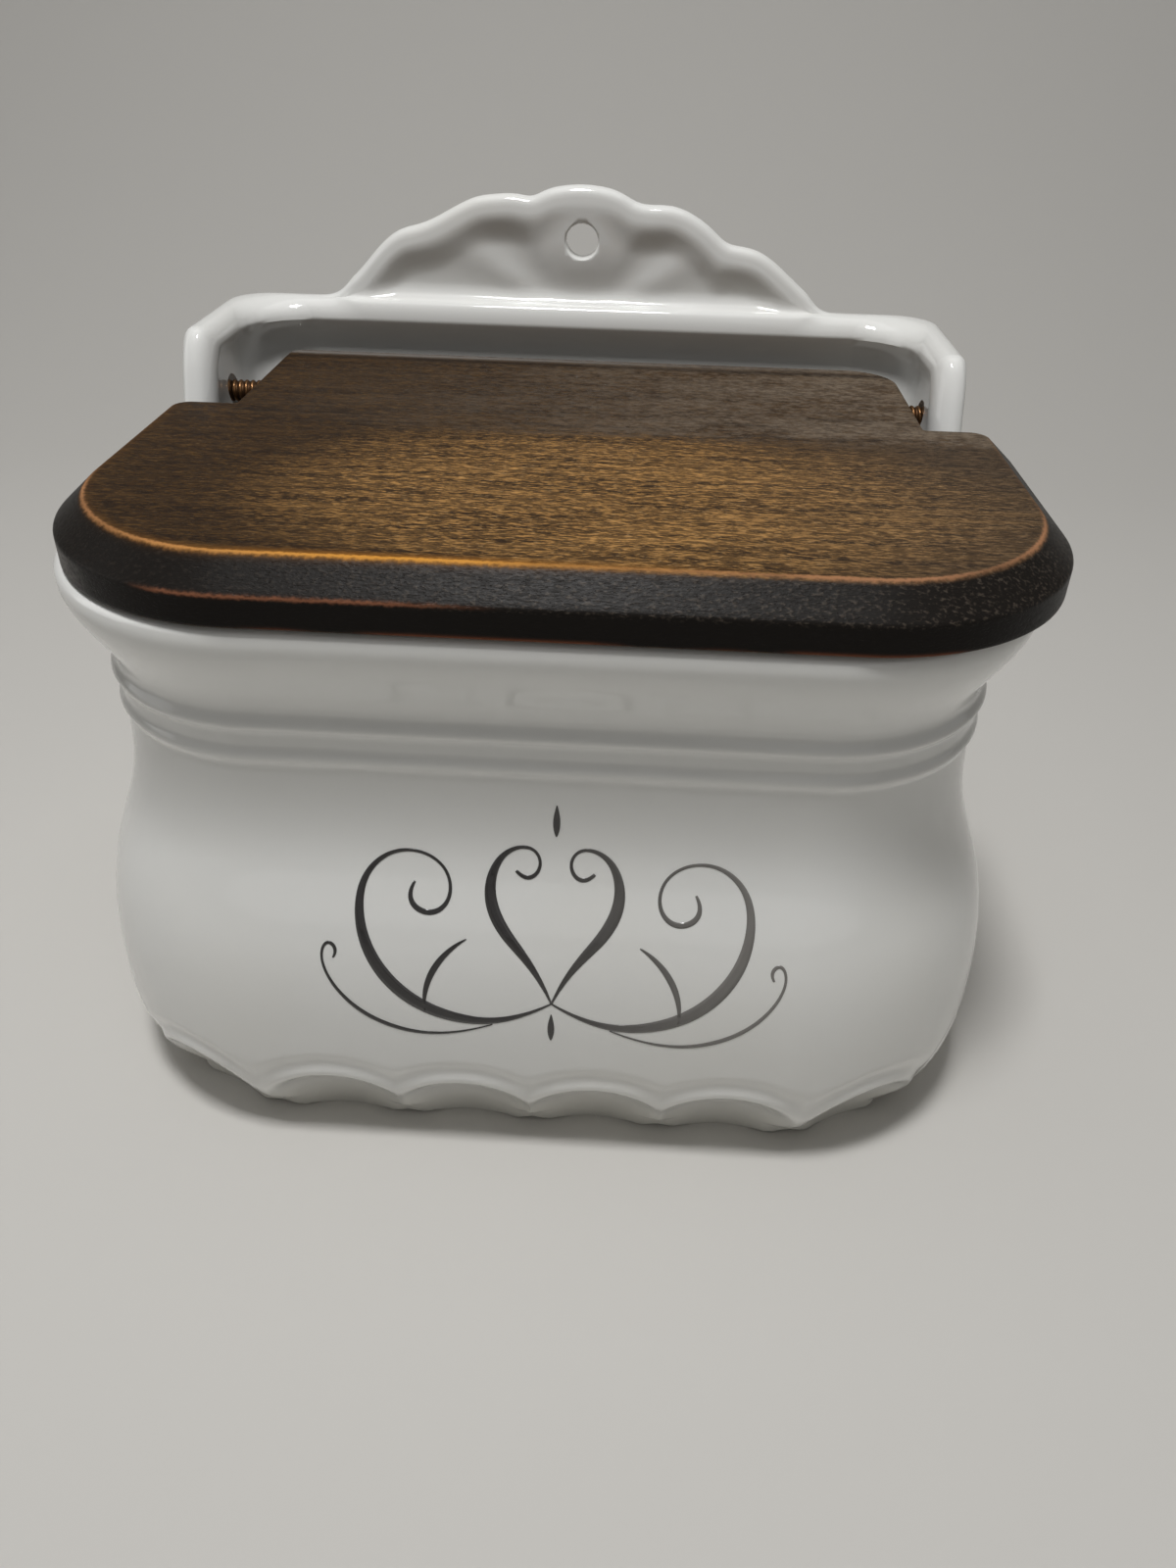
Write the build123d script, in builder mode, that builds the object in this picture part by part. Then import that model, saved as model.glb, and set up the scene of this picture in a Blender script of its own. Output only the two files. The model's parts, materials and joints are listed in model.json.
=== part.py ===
from build123d import *
import os
from math import cos, pi, sin, sqrt

os.makedirs("parts", exist_ok=True)

# A porcelain salt pot that hangs on a wall or stands on a shelf, with a wooden lid
# on two threaded brass hinge pins. Millimetres, +Z up, +Y to the wall, the front
# at -Y, and the origin under the middle of the pot on the surface it stands on.

# Pot, overall
belly_width = 168.0
pot_depth = 126.0
rim_height = 104.0
corner_radius = 40.0
wall = 5.0
back_round = 2.0

# Pot, the outer line of the wall: how far each height lies inside the belly
foot_inset = 7.6
foot_band = 2.5
belly_low = 11.0
belly_low_inset = 1.7
belly_height = 22.0
flank_height = 48.0
flank_inset = 3.5
neck_height = 60.5
neck_inset = 8.2
waist_inset = 10.4
cove_below_rim = 10.0
cove_inset = 7.3
rim_inset = 4.3
rim_thickness = 6.0
rim_round = 2.0

# Two beads round the waist
bead_below_cove = 9.2
bead_spacing = 5.8
bead_half_height = 1.7
bead_out = 0.9

# Foot and floor
foot_recess = 1.5
floor_thickness = 5.0

# Thumb print scoops round the foot
scoop_pitch = 23.8
scoop_radius = 20.0
scoop_rise = 0.5
scoop_bite = 1.5

# Hood: the two cheeks and the wall behind the lid
hood_rise = 19.5
cheek_step = 0.6
cheek_thickness = 6.2
cheek_length = 44.5
cheek_lean = 7.3
cheek_crown = 8.0
hood_corner = 6.0
hood_inner_corner = 12.0
hood_round = 2.6
ledge = 3.0

# Crest above the hood, with its hanging hole
crest_thickness = 4.3
crest_rise = 22.8
crest_half_width = 59.0
crest_round = 1.5
middle_lobe_half = 11.2
middle_lobe_drop = 2.6
side_lobe_end = 31.5
side_lobe_drop = 8.8
low_lobe_end = 43.5
low_lobe_drop = 14.6
lobe_swell = 2.0
low_lobe_swell = 1.1
sweep_hollow = 1.0
valley_round = 2.5
hole_diameter = 6.6
hole_from_top = 10.3

# Lid
lid_thickness = 9.5
lid_overhang = 0.3
lid_corner_tuck = 0.5
lid_rest_gap = 0.3
lid_shift = 2.2
bevel_out = 5.2
bevel_down = 4.6
shoulder_gap = 5.0
shoulder_corner = 3.0
tongue_side_gap = 5.5
tongue_left_corner = 3.0
tongue_right_corner = 9.5
tongue_back_gap = 2.7

# Hinge pins
pin_diameter = 4.4
pin_length = 26.0
pin_end_inset = 0.6
pin_seat_clearance = 0.05
pin_end_room = 0.5
pin_from_tongue_end = 15.5
thread_pitch = 1.25
thread_depth = 0.35
pin_slot_width = 0.8
pin_slot_depth = 1.2
cheek_hole_clearance = 1.1

# Worked out from the sizes above
half_width = belly_width / 2
back_y = pot_depth / 2
front_y = -back_y
corner_x = half_width - corner_radius
corner_y = front_y + corner_radius
cove_height = rim_height - cove_below_rim
upper_bead_height = cove_height - bead_below_cove
lower_bead_height = upper_bead_height - bead_spacing
hood_top = rim_height + hood_rise
crest_top = hood_top + crest_rise
hole_height = crest_top - hole_from_top
scoop_outside = sqrt(scoop_radius**2 - scoop_rise**2) - foot_inset - scoop_bite
back_wall = crest_thickness + ledge
hood_inner_y = back_y - back_wall
waist_bottom = lower_bead_height - bead_half_height
waist_top = upper_bead_height + bead_half_height
floor_top = foot_recess + floor_thickness
cheek_inner = half_width - waist_inset - wall + cheek_step
cheek_outer = cheek_inner + cheek_thickness
cheek_root_front = back_y - cheek_length
lid_bottom = rim_height + lid_rest_gap
lid_front_y = front_y + rim_inset - lid_overhang
lid_half = half_width - rim_inset + lid_overhang
lid_corner = corner_radius - rim_inset - lid_corner_tuck
shoulder_y = cheek_root_front - shoulder_gap
tongue_half = cheek_inner - tongue_side_gap
tongue_end_y = hood_inner_y - tongue_back_gap
pivot_y = tongue_end_y - pin_from_tongue_end
pivot_z = lid_bottom + lid_thickness / 2
pin_outer = cheek_outer - pin_end_inset
pin_inner = pin_outer - pin_length
back_plane = Plane(origin=(0, back_y, 0), x_dir=(1, 0, 0), z_dir=(0, -1, 0))


def outer_profile(x0):
    """The wall's outer line from the foot to the rim; x0 is where the belly lies."""
    foot = Line((x0 + foot_inset, 0), (x0 + foot_inset, foot_band))
    low_belly = Spline(
        foot @ 1,
        (x0 + belly_low_inset, belly_low),
        (x0, belly_height),
        tangents=[(-1, 0.8), (0, 1)],
    )
    high_belly = Spline(
        low_belly @ 1,
        (x0 + flank_inset, flank_height),
        (x0 + neck_inset, neck_height),
        (x0 + waist_inset, waist_bottom),
        tangents=[(0, 1), (0, 1)],
    )
    lower_bead = ThreePointArc(
        high_belly @ 1,
        (x0 + waist_inset - bead_out, lower_bead_height),
        (x0 + waist_inset, lower_bead_height + bead_half_height),
    )
    groove = Line(lower_bead @ 1, (x0 + waist_inset, upper_bead_height - bead_half_height))
    upper_bead = ThreePointArc(
        groove @ 1,
        (x0 + waist_inset - bead_out, upper_bead_height),
        (x0 + waist_inset, waist_top),
    )
    cove = Spline(
        upper_bead @ 1,
        (x0 + cove_inset, cove_height),
        (x0 + rim_inset, rim_height - rim_round),
        tangents=[(0, 1), (0, 1)],
    )
    RadiusArc(cove @ 1, (x0 + rim_inset + rim_round, rim_height), rim_round)


def wall_section(x0):
    """The closed section of the wall, the rim and the foot ring."""
    outer_profile(x0)
    rim_top = Line(
        (x0 + rim_inset + rim_round, rim_height),
        (x0 + rim_inset + rim_thickness - rim_round, rim_height),
    )
    inner_lip = RadiusArc(
        rim_top @ 1, (x0 + rim_inset + rim_thickness, rim_height - rim_round), rim_round
    )
    inner_cove = Spline(
        inner_lip @ 1,
        (x0 + cove_inset + wall, cove_height),
        (x0 + waist_inset + wall, waist_top),
        tangents=[(0, -1), (0, -1)],
    )
    inner_waist = Line(inner_cove @ 1, (x0 + waist_inset + wall, waist_bottom))
    inner_belly = Spline(
        inner_waist @ 1,
        (x0 + neck_inset + wall, neck_height),
        (x0 + flank_inset + wall, flank_height),
        (x0 + wall, belly_height),
        (x0 + foot_inset + wall + foot_recess, floor_top),
        tangents=[(0, -1), (1, -0.4)],
    )
    floor_lap = x0 + foot_inset + 2 * wall
    Polyline(
        inner_belly @ 1,
        (floor_lap, floor_top),
        (floor_lap, foot_recess),
        (x0 + foot_inset + wall, foot_recess),
        (x0 + foot_inset + wall, 0),
        (x0 + foot_inset, 0),
    )


def plan_outline(inset, back):
    """The pot's outline in plan, drawn in by inset, with its flat side at back."""
    radius = corner_radius - inset
    side_x = half_width - inset
    plan_front = front_y + inset
    side = Polyline((0, back), (side_x, back), (side_x, corner_y))
    turn = RadiusArc(side @ 1, (corner_x, plan_front), radius)
    front = Line(turn @ 1, (0, plan_front))
    mirror(about=Plane.YZ)
    return front


def scoop_centres():
    """Centres of the scoops, at even steps round the foot, on both sides."""
    foot_turn = (corner_radius - foot_inset) * pi / 2
    half_way_round = corner_x + foot_turn + back_y - corner_y
    centres = []
    for step in range(int(half_way_round / scoop_pitch)):
        along = scoop_pitch * (step + 0.5)
        if along <= corner_x:
            x, y = along, front_y - scoop_outside
        elif along <= corner_x + foot_turn:
            angle = (along - corner_x) / (corner_radius - foot_inset)
            x = corner_x + (corner_radius + scoop_outside) * sin(angle)
            y = corner_y - (corner_radius + scoop_outside) * cos(angle)
        else:
            x, y = half_width + scoop_outside, corner_y + along - corner_x - foot_turn
        centres += [(x, y, scoop_rise), (-x, y, scoop_rise)]
    return centres


# Hood: a wall with two cheeks, rounded along its top
with BuildPart() as hood:
    with BuildSketch(Plane.XY.offset(cove_height)) as hood_plan:
        with BuildLine():
            Polyline(
                (-cheek_outer, 0),
                (-cheek_outer, back_y),
                (cheek_outer, back_y),
                (cheek_outer, 0),
                (cheek_inner, 0),
                (cheek_inner, hood_inner_y),
                (-cheek_inner, hood_inner_y),
                (-cheek_inner, 0),
                close=True,
            )
        make_face()
        fillet(hood_plan.vertices().group_by(Axis.Y)[-1], hood_corner)
        fillet(hood_plan.vertices().group_by(Axis.Y)[-3], hood_inner_corner)
    extrude(amount=hood_top - cove_height)
    with BuildSketch(Plane.YZ) as cheek_front:
        with BuildLine():
            Polyline(
                (-wall, cove_height - wall),
                (cheek_root_front, cove_height - wall),
                (cheek_root_front, rim_height),
                (cheek_root_front + cheek_lean, hood_top),
                (cheek_root_front + cheek_lean, hood_top + wall),
                (-wall, hood_top + wall),
                close=True,
            )
        make_face()
    extrude(amount=half_width, both=True, mode=Mode.SUBTRACT)
    crown_edges = hood.edges().filter_by(Axis.X).group_by(Axis.Z)[-1].sort_by(Axis.Y)[:2]
    fillet(crown_edges, cheek_crown)
    top_edges = hood.faces().sort_by(Axis.Z)[-1].edges().filter_by(Axis.X, reverse=True)
    fillet(top_edges, hood_round)

# Crest: a lobed plate on top of the hood's back wall
with BuildPart() as crest:
    with BuildSketch(back_plane) as crest_face:
        with BuildLine():
            middle_valley = (middle_lobe_half, crest_top - middle_lobe_drop)
            side_valley = (side_lobe_end, crest_top - side_lobe_drop)
            low_end = (low_lobe_end, crest_top - low_lobe_drop)
            sweep_end = (crest_half_width, hood_top - hood_round)
            SagittaArc((-middle_lobe_half, middle_valley[1]), middle_valley, middle_lobe_drop)
            SagittaArc(middle_valley, side_valley, lobe_swell)
            SagittaArc(side_valley, low_end, low_lobe_swell)
            SagittaArc(low_end, sweep_end, -sweep_hollow)
            Polyline(sweep_end, (crest_half_width, rim_height), (0, rim_height))
            SagittaArc(
                (-middle_valley[0], middle_valley[1]), (-side_valley[0], side_valley[1]), -lobe_swell
            )
            SagittaArc((-side_valley[0], side_valley[1]), (-low_end[0], low_end[1]), -low_lobe_swell)
            SagittaArc((-low_end[0], low_end[1]), (-sweep_end[0], sweep_end[1]), sweep_hollow)
            Polyline((-sweep_end[0], sweep_end[1]), (-crest_half_width, rim_height), (0, rim_height))
        make_face()
        fillet(crest_face.vertices().filter_by(lambda v: v.Y > hood_top + valley_round), valley_round)
    extrude(amount=crest_thickness)
    crest_edges = crest.edges().filter_by(Axis.Y, reverse=True).filter_by(
        lambda e: e.bounding_box().min.Z > hood_top - 2 * hood_round
    )
    fillet(crest_edges, crest_round)

# Pot: the swept wall, the floor, the back, the hood and the crest, fired as one piece
with BuildPart() as pot:
    with BuildLine() as wall_path:
        left_side = Line((-half_width, back_y, 0), (-half_width, corner_y, 0))
        left_turn = RadiusArc(left_side @ 1, (-corner_x, front_y, 0), -corner_radius)
        front = Line(left_turn @ 1, (corner_x, front_y, 0))
        right_turn = RadiusArc(front @ 1, (half_width, corner_y, 0), -corner_radius)
        Line(right_turn @ 1, (half_width, back_y, 0))
    with BuildSketch(Plane(origin=(-half_width, back_y, 0), x_dir=(1, 0, 0), z_dir=(0, -1, 0))):
        with BuildLine():
            wall_section(0)
        make_face()
    sweep()
    with BuildSketch(Plane.XY.offset(foot_recess)):
        with BuildLine():
            plan_outline(foot_inset + 1.5 * wall, hood_inner_y + wall / 2)
        make_face()
    extrude(amount=floor_thickness)
    with BuildSketch(back_plane):
        with BuildLine():
            outer_profile(-half_width)
            Line((-half_width + rim_inset + rim_round, rim_height), (0, rim_height))
            Line((-half_width + foot_inset, 0), (0, 0))
            mirror(about=Plane.YZ)
        make_face()
    extrude(amount=back_wall)
    back_sides = pot.faces().sort_by(Axis.Y)[-1].outer_wire().edges().filter_by(
        lambda e: abs(e.center().X) > cheek_inner and e.center().Z < rim_height - rim_round
    )
    fillet(back_sides, back_round)
    with BuildSketch(Plane.XZ.offset(-back_y)):
        with BuildLine():
            Polyline(
                (cheek_inner, waist_top),
                (cheek_inner + wall / 2, waist_top),
                (half_width - cove_inset - rim_round, cove_height),
                (cheek_inner, cove_height),
                close=True,
            )
        make_face()
        mirror(about=Plane.YZ)
    extrude(amount=back_y - cheek_root_front)
    add(hood.part)
    add(crest.part)
    with Locations(*scoop_centres()):
        Sphere(scoop_radius, mode=Mode.SUBTRACT)
    with BuildSketch(back_plane):
        with Locations((0, hole_height)):
            Circle(hole_diameter / 2)
    extrude(amount=crest_thickness, mode=Mode.SUBTRACT)
    with BuildSketch(Plane.YZ):
        with Locations((pivot_y, pivot_z)):
            Circle(pin_diameter / 2 + cheek_hole_clearance)
    extrude(amount=half_width, both=True, mode=Mode.SUBTRACT)
pot.part.label = "pot"
export_step(pot.part, "parts/pot.step")

# Lid: one board, bevelled round its front and sides, with a tongue between the cheeks
with BuildPart() as lid:
    with BuildSketch(Plane.XY.offset(lid_bottom)) as lid_plan:
        with BuildLine():
            Polyline(
                (lid_shift, tongue_end_y),
                (lid_shift + tongue_half, tongue_end_y),
                (lid_shift + tongue_half, shoulder_y),
                (lid_shift + lid_half, shoulder_y),
                (lid_shift + lid_half, lid_front_y),
                (lid_shift, lid_front_y),
            )
            mirror(about=Plane.YZ.offset(lid_shift))
        make_face()
        fillet(lid_plan.vertices().group_by(Axis.Y)[0], lid_corner)
        tongue_corners = lid_plan.vertices().group_by(Axis.Y)[-1].sort_by(Axis.X)
        fillet(tongue_corners[0], tongue_left_corner)
        fillet(lid_plan.vertices().group_by(Axis.Y)[-1].sort_by(Axis.X)[-1], tongue_right_corner)
    extrude(amount=lid_thickness)
    lid_face = lid.faces().sort_by(Axis.Z)[-1]
    bevel_edges = lid_face.edges().filter_by(lambda e: e.center().Y < shoulder_y - shoulder_corner)
    chamfer(bevel_edges, bevel_out, bevel_down, reference=lid_face)
    shoulder_edges = lid.edges().filter_by(
        lambda e: abs(e.center().Y - shoulder_y) < shoulder_corner / 2
        and abs(e.center().X - lid_shift) > lid_half - bevel_out
        and abs(e.tangent_at(0).Z) > 0.1
    )
    fillet(shoulder_edges, shoulder_corner)
    for side_sign in (-1, 1):
        with BuildSketch(Plane.YZ.offset(side_sign * (pin_inner - pin_end_room))):
            with Locations((pivot_y, pivot_z)):
                Circle(pin_diameter / 2 + pin_seat_clearance)
        extrude(amount=side_sign * half_width, mode=Mode.SUBTRACT)
lid.part.label = "lid"
export_step(lid.part, "parts/lid.step")


def pin_profile():
    """Half of a pin's section, from its pointed end past the threads to its flat end."""
    crest_radius = pin_diameter / 2
    root_radius = crest_radius - thread_depth
    points = [(0, 0), (root_radius, root_radius)]
    for turn in range(int((pin_length - crest_radius) / thread_pitch)):
        start = root_radius + thread_pitch * turn
        points += [(crest_radius, start + thread_pitch / 2), (root_radius, start + thread_pitch)]
    points += [(root_radius, pin_length), (0, pin_length)]
    return points


# Hinge pins: threaded into the tongue's edges, running in the cheeks' holes
for side_name, side_sign in (("left", -1), ("right", 1)):
    tip = (side_sign * pin_inner, pivot_y, pivot_z)
    with BuildPart() as pin:
        with BuildSketch(Plane(origin=tip, x_dir=(0, 1, 0), z_dir=(0, 0, -side_sign))):
            with BuildLine():
                Polyline(*pin_profile(), close=True)
            make_face()
        revolve(axis=Axis(tip, (side_sign, 0, 0)))
        with BuildSketch(Plane.YZ.offset(side_sign * pin_outer)):
            with Locations((pivot_y, pivot_z)):
                Rectangle(pin_slot_width, pin_diameter)
        extrude(amount=-side_sign * pin_slot_depth, mode=Mode.SUBTRACT)
    pin.part.label = f"hinge_pin_{side_name}"
    export_step(pin.part, f"parts/hinge_pin_{side_name}.step")
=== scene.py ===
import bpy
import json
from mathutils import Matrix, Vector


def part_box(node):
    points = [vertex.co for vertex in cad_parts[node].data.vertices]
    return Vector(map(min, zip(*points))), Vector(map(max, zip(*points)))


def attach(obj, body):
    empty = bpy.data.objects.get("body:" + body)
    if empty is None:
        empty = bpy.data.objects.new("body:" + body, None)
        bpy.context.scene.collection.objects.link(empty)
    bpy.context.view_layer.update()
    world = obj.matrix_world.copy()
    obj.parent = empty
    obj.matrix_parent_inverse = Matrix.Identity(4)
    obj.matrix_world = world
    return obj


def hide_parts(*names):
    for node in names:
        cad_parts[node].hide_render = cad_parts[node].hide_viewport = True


bl_info = {
    "name": "Porcelain Salt Pot",
    "version": (1, 0, 0),
    "blender": (4, 5, 0),
    "location": "View3D > Sidebar > Salt Pot",
    "description": "Makes a porcelain salt pot with a wooden lid on two threaded pins",
    "category": "Object",
}

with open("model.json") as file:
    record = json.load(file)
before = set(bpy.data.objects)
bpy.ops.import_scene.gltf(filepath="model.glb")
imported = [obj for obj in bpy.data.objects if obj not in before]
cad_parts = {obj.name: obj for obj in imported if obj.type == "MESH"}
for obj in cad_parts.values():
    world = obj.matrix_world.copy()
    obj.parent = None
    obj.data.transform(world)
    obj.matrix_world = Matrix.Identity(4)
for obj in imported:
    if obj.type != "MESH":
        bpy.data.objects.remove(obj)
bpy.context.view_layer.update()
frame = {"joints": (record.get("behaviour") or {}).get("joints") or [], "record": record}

import json
import math

import bmesh
import bpy
import numpy as np
from bpy.props import FloatProperty, FloatVectorProperty, PointerProperty
from mathutils import Matrix, Vector

MM = 0.001
pot_low, pot_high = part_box("pot")
lid_low, lid_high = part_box("lid")
pin_boxes = {side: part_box(f"hinge_pin_{side}") for side in ("left", "right")}
hinge = Vector(frame["joints"][0]["pos_m"])
mounts = {mount["name"]: mount for mount in frame["record"]["mounts"]}
hanging_hole = Vector(mounts["hanging_hole"]["pos_m"])
hanging_hole_radius = mounts["hanging_hole"]["dims"]["r_mm"] * MM
crest_thickness = mounts["hanging_hole"]["dims"]["length_mm"] * MM

half_width = pot_high.x
front_y, back_y = pot_low.y, pot_high.y
lid_middle = (lid_low.x + lid_high.x) / 2


def length(label, text, millimetres):
    """A property for one size, given in millimetres."""
    return FloatProperty(name=label, description=text, default=millimetres * MM, unit="LENGTH", precision=5)


def share(label, text, value):
    """A property for one share between 0 and 1."""
    return FloatProperty(name=label, description=text, default=value, min=0, max=1, subtype="FACTOR")


def colour(label, text, value):
    """A property for one colour."""
    return FloatVectorProperty(name=label, description=text, default=value, min=0, max=1, subtype="COLOR")


class PotSizes(bpy.types.PropertyGroup):
    """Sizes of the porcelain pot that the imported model's boxes don't give."""

    rim_height: length("Rim height", "Height of the rim's top", 104)
    corner_radius: length("Corner radius", "Radius of the front corners at the belly", 40)
    wall: length("Wall", "Thickness of the wall", 5)
    foot_inset: length("Foot inset", "How far the foot lies inside the belly", 7.6)
    foot_band: length("Foot band", "Height of the straight band at the foot", 2.5)
    foot_recess: length("Foot recess", "How far the underside lies above the foot ring", 1.5)
    floor_top: length("Floor top", "Height of the floor inside", 6.5)
    belly_height: length("Belly height", "Height at which the pot is widest", 22)
    waist_inset: length("Waist inset", "How far the waist lies inside the belly", 10.4)
    rim_inset: length("Rim inset", "How far the rim lies inside the belly", 4.3)
    rim_thickness: length("Rim thickness", "Thickness of the rim's lip", 6)
    rim_round: length("Rim round", "Radius of the rim's edges", 2)
    upper_bead: length("Upper bead", "Height of the upper bead at the waist", 84.8)
    lower_bead: length("Lower bead", "Height of the lower bead at the waist", 79)
    bead_out: length("Bead size", "How far the upper bead stands out", 1.0)
    hood_top: length("Hood top", "Height of the hood's rounded top", 123.5)
    cheek_outer: length("Cheek outside", "Distance from the middle to a cheek's outer face", 75.4)
    cheek_thickness: length("Cheek thickness", "Thickness of a cheek", 6.2)
    cheek_root: length("Cheek root", "Where the cheek's front meets the rim, from front to back", 18.5)
    cheek_lean: length("Cheek lean", "How far the cheek's front leans back over its height", 7.3)
    hood_back: length("Hood back", "Thickness of the hood's back wall, with the ledge", 7.3)
    hood_round: length("Hood round", "Radius of the hood's outer edge", 2.4)
    hood_inner_wide: length("Inner edge width", "How far the hood's inner edge is rounded across", 3.2)
    hood_inner_high: length("Inner edge height", "How far down the hood's inner edge is rounded", 4.2)
    hood_hollow: length("Hood hollow", "How far the hood is hollowed below its inner edge", 2.6)
    crown_reach: length("Cheek crown", "How far the cheeks' upper front corners are rounded", 8)
    crest_round: length("Crest round", "Radius of the crest's edges", 2.1)
    scoop_pitch: length("Scoop pitch", "Distance between two scoops along the foot", 23.8)
    scoop_radius: length("Scoop radius", "Radius of each scoop's round hollow", 20)
    scoop_rise: length("Scoop rise", "How far a scoop's centre lies above the foot", 0.5)
    scoop_bite: length("Scoop bite", "How deep a scoop cuts into the foot", 1.5)
    scoop_softness: length("Scoop softness", "How softly a scoop turns into the skin round it", 1.2)
    shoulder_gap: length("Shoulder gap", "Distance from a scoop to the wavy shoulder above it", 5.6)
    shoulder_step: length("Shoulder step", "How far the skin steps in below the wavy shoulder", 0.55)
    shoulder_width: length("Shoulder width", "How far the wavy shoulder's step reaches down", 2.4)
    lip_height: length("Lip height", "How far the lip round a scoop stands out", 0.5)
    lip_width: length("Lip width", "How wide the lip round a scoop is", 1.0)


class LidSizes(bpy.types.PropertyGroup):
    """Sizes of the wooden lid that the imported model's boxes don't give."""

    corner: length("Corner radius", "Radius of the lid's front corners", 35.2)
    bevel_out: length("Bevel width", "How far the bevel reaches in from the edge", 5.2)
    bevel_down: length("Bevel height", "How far the bevel reaches down from the top", 4.6)
    shoulder: length("Shoulder place", "Where the board ends beside the tongue", 13.5)
    shoulder_corner: length("Shoulder corner", "Radius of the shoulders' corners", 3)
    tongue_half: length("Tongue half width", "Half the width of the tongue", 63.7)
    tongue_left: length("Left tongue corner", "Radius of the tongue's left corner", 3)
    tongue_right: length("Right tongue corner", "Radius of the tongue's right corner", 9.5)
    worn_edge: length("Worn edge", "Radius of the worn edges", 0.5)


class PinSizes(bpy.types.PropertyGroup):
    """Sizes of the threaded pins."""

    pitch: length("Thread pitch", "Distance from one turn of the thread to the next", 1.25)
    depth: length("Thread depth", "Depth of the thread", 0.35)
    slot_width: length("Slot width", "Width of the screwdriver slot", 0.8)
    slot_depth: length("Slot depth", "Depth of the screwdriver slot", 1.2)


class PotLooks(bpy.types.PropertyGroup):
    """Colours and finishes."""

    glaze: colour("Glaze", "Porcelain glaze", (0.80, 0.80, 0.775))
    glaze_warm: colour("Warm glaze", "Glaze at the foot and where it is thin", (0.74, 0.715, 0.64))
    glaze_gloss: share("Glaze roughness", "Roughness of the glaze", 0.07)
    stain: colour("Stain", "Dark stain of the lid", (0.013, 0.0065, 0.0032))
    # The golden stain shows most in the middle of the lid, where light is painted on it
    stain_light: colour("Light stain", "Golden middle of the lid", (0.43, 0.230, 0.074))
    # The grey is weathered stain, and at the rear it also stands in for painted sheen
    stain_grey: colour("Grey stain", "Weathered stain at the lid's rear and right", (0.150, 0.115, 0.082))
    bare_wood: colour("Bare wood", "Brightest worn edge of the lid", (0.64, 0.285, 0.045))
    bare_copper: colour("Dull bare wood", "Duller worn edge of the lid", (0.33, 0.160, 0.080))
    bevel_black: colour("Bevel", "Nearly black edge of the lid", (0.0085, 0.0068, 0.0056))
    brass: colour("Brass", "Hinge pins", (0.24, 0.125, 0.055))
    enamel: colour("Enamel", "Dark painted flourish", (0.012, 0.010, 0.010))
    enamel_grey: colour("Worn enamel", "Paler end of the flourish", (0.21, 0.20, 0.185))
    floor: colour("Floor", "Floor and backdrop", (0.60, 0.585, 0.555))


# Colours of small marks, which are no finish of their own; some of them are painted sheen and highlights
MARKS = {
    "speck": (0.16, 0.13, 0.10),
    "dark_streak": (0.012, 0.008, 0.006),
    "light_pore": (0.50, 0.32, 0.15),
    "dark_pore": (0.010, 0.006, 0.004),
    "dark_line": (0.010, 0.008, 0.007),
    "rear_edge_sheen": (0.185, 0.170, 0.155),
    "dust_and_sheen": (0.150, 0.120, 0.094),
    "rubbed": (0.16, 0.145, 0.13),
    "glow": (0.30, 0.115, 0.012),
    "low_line": (0.26, 0.105, 0.055),
    "floor_line": (0.22, 0.070, 0.030),
    "tarnish": (0.055, 0.028, 0.014),
    "paper_shade": (0.52, 0.51, 0.49),
}


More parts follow.
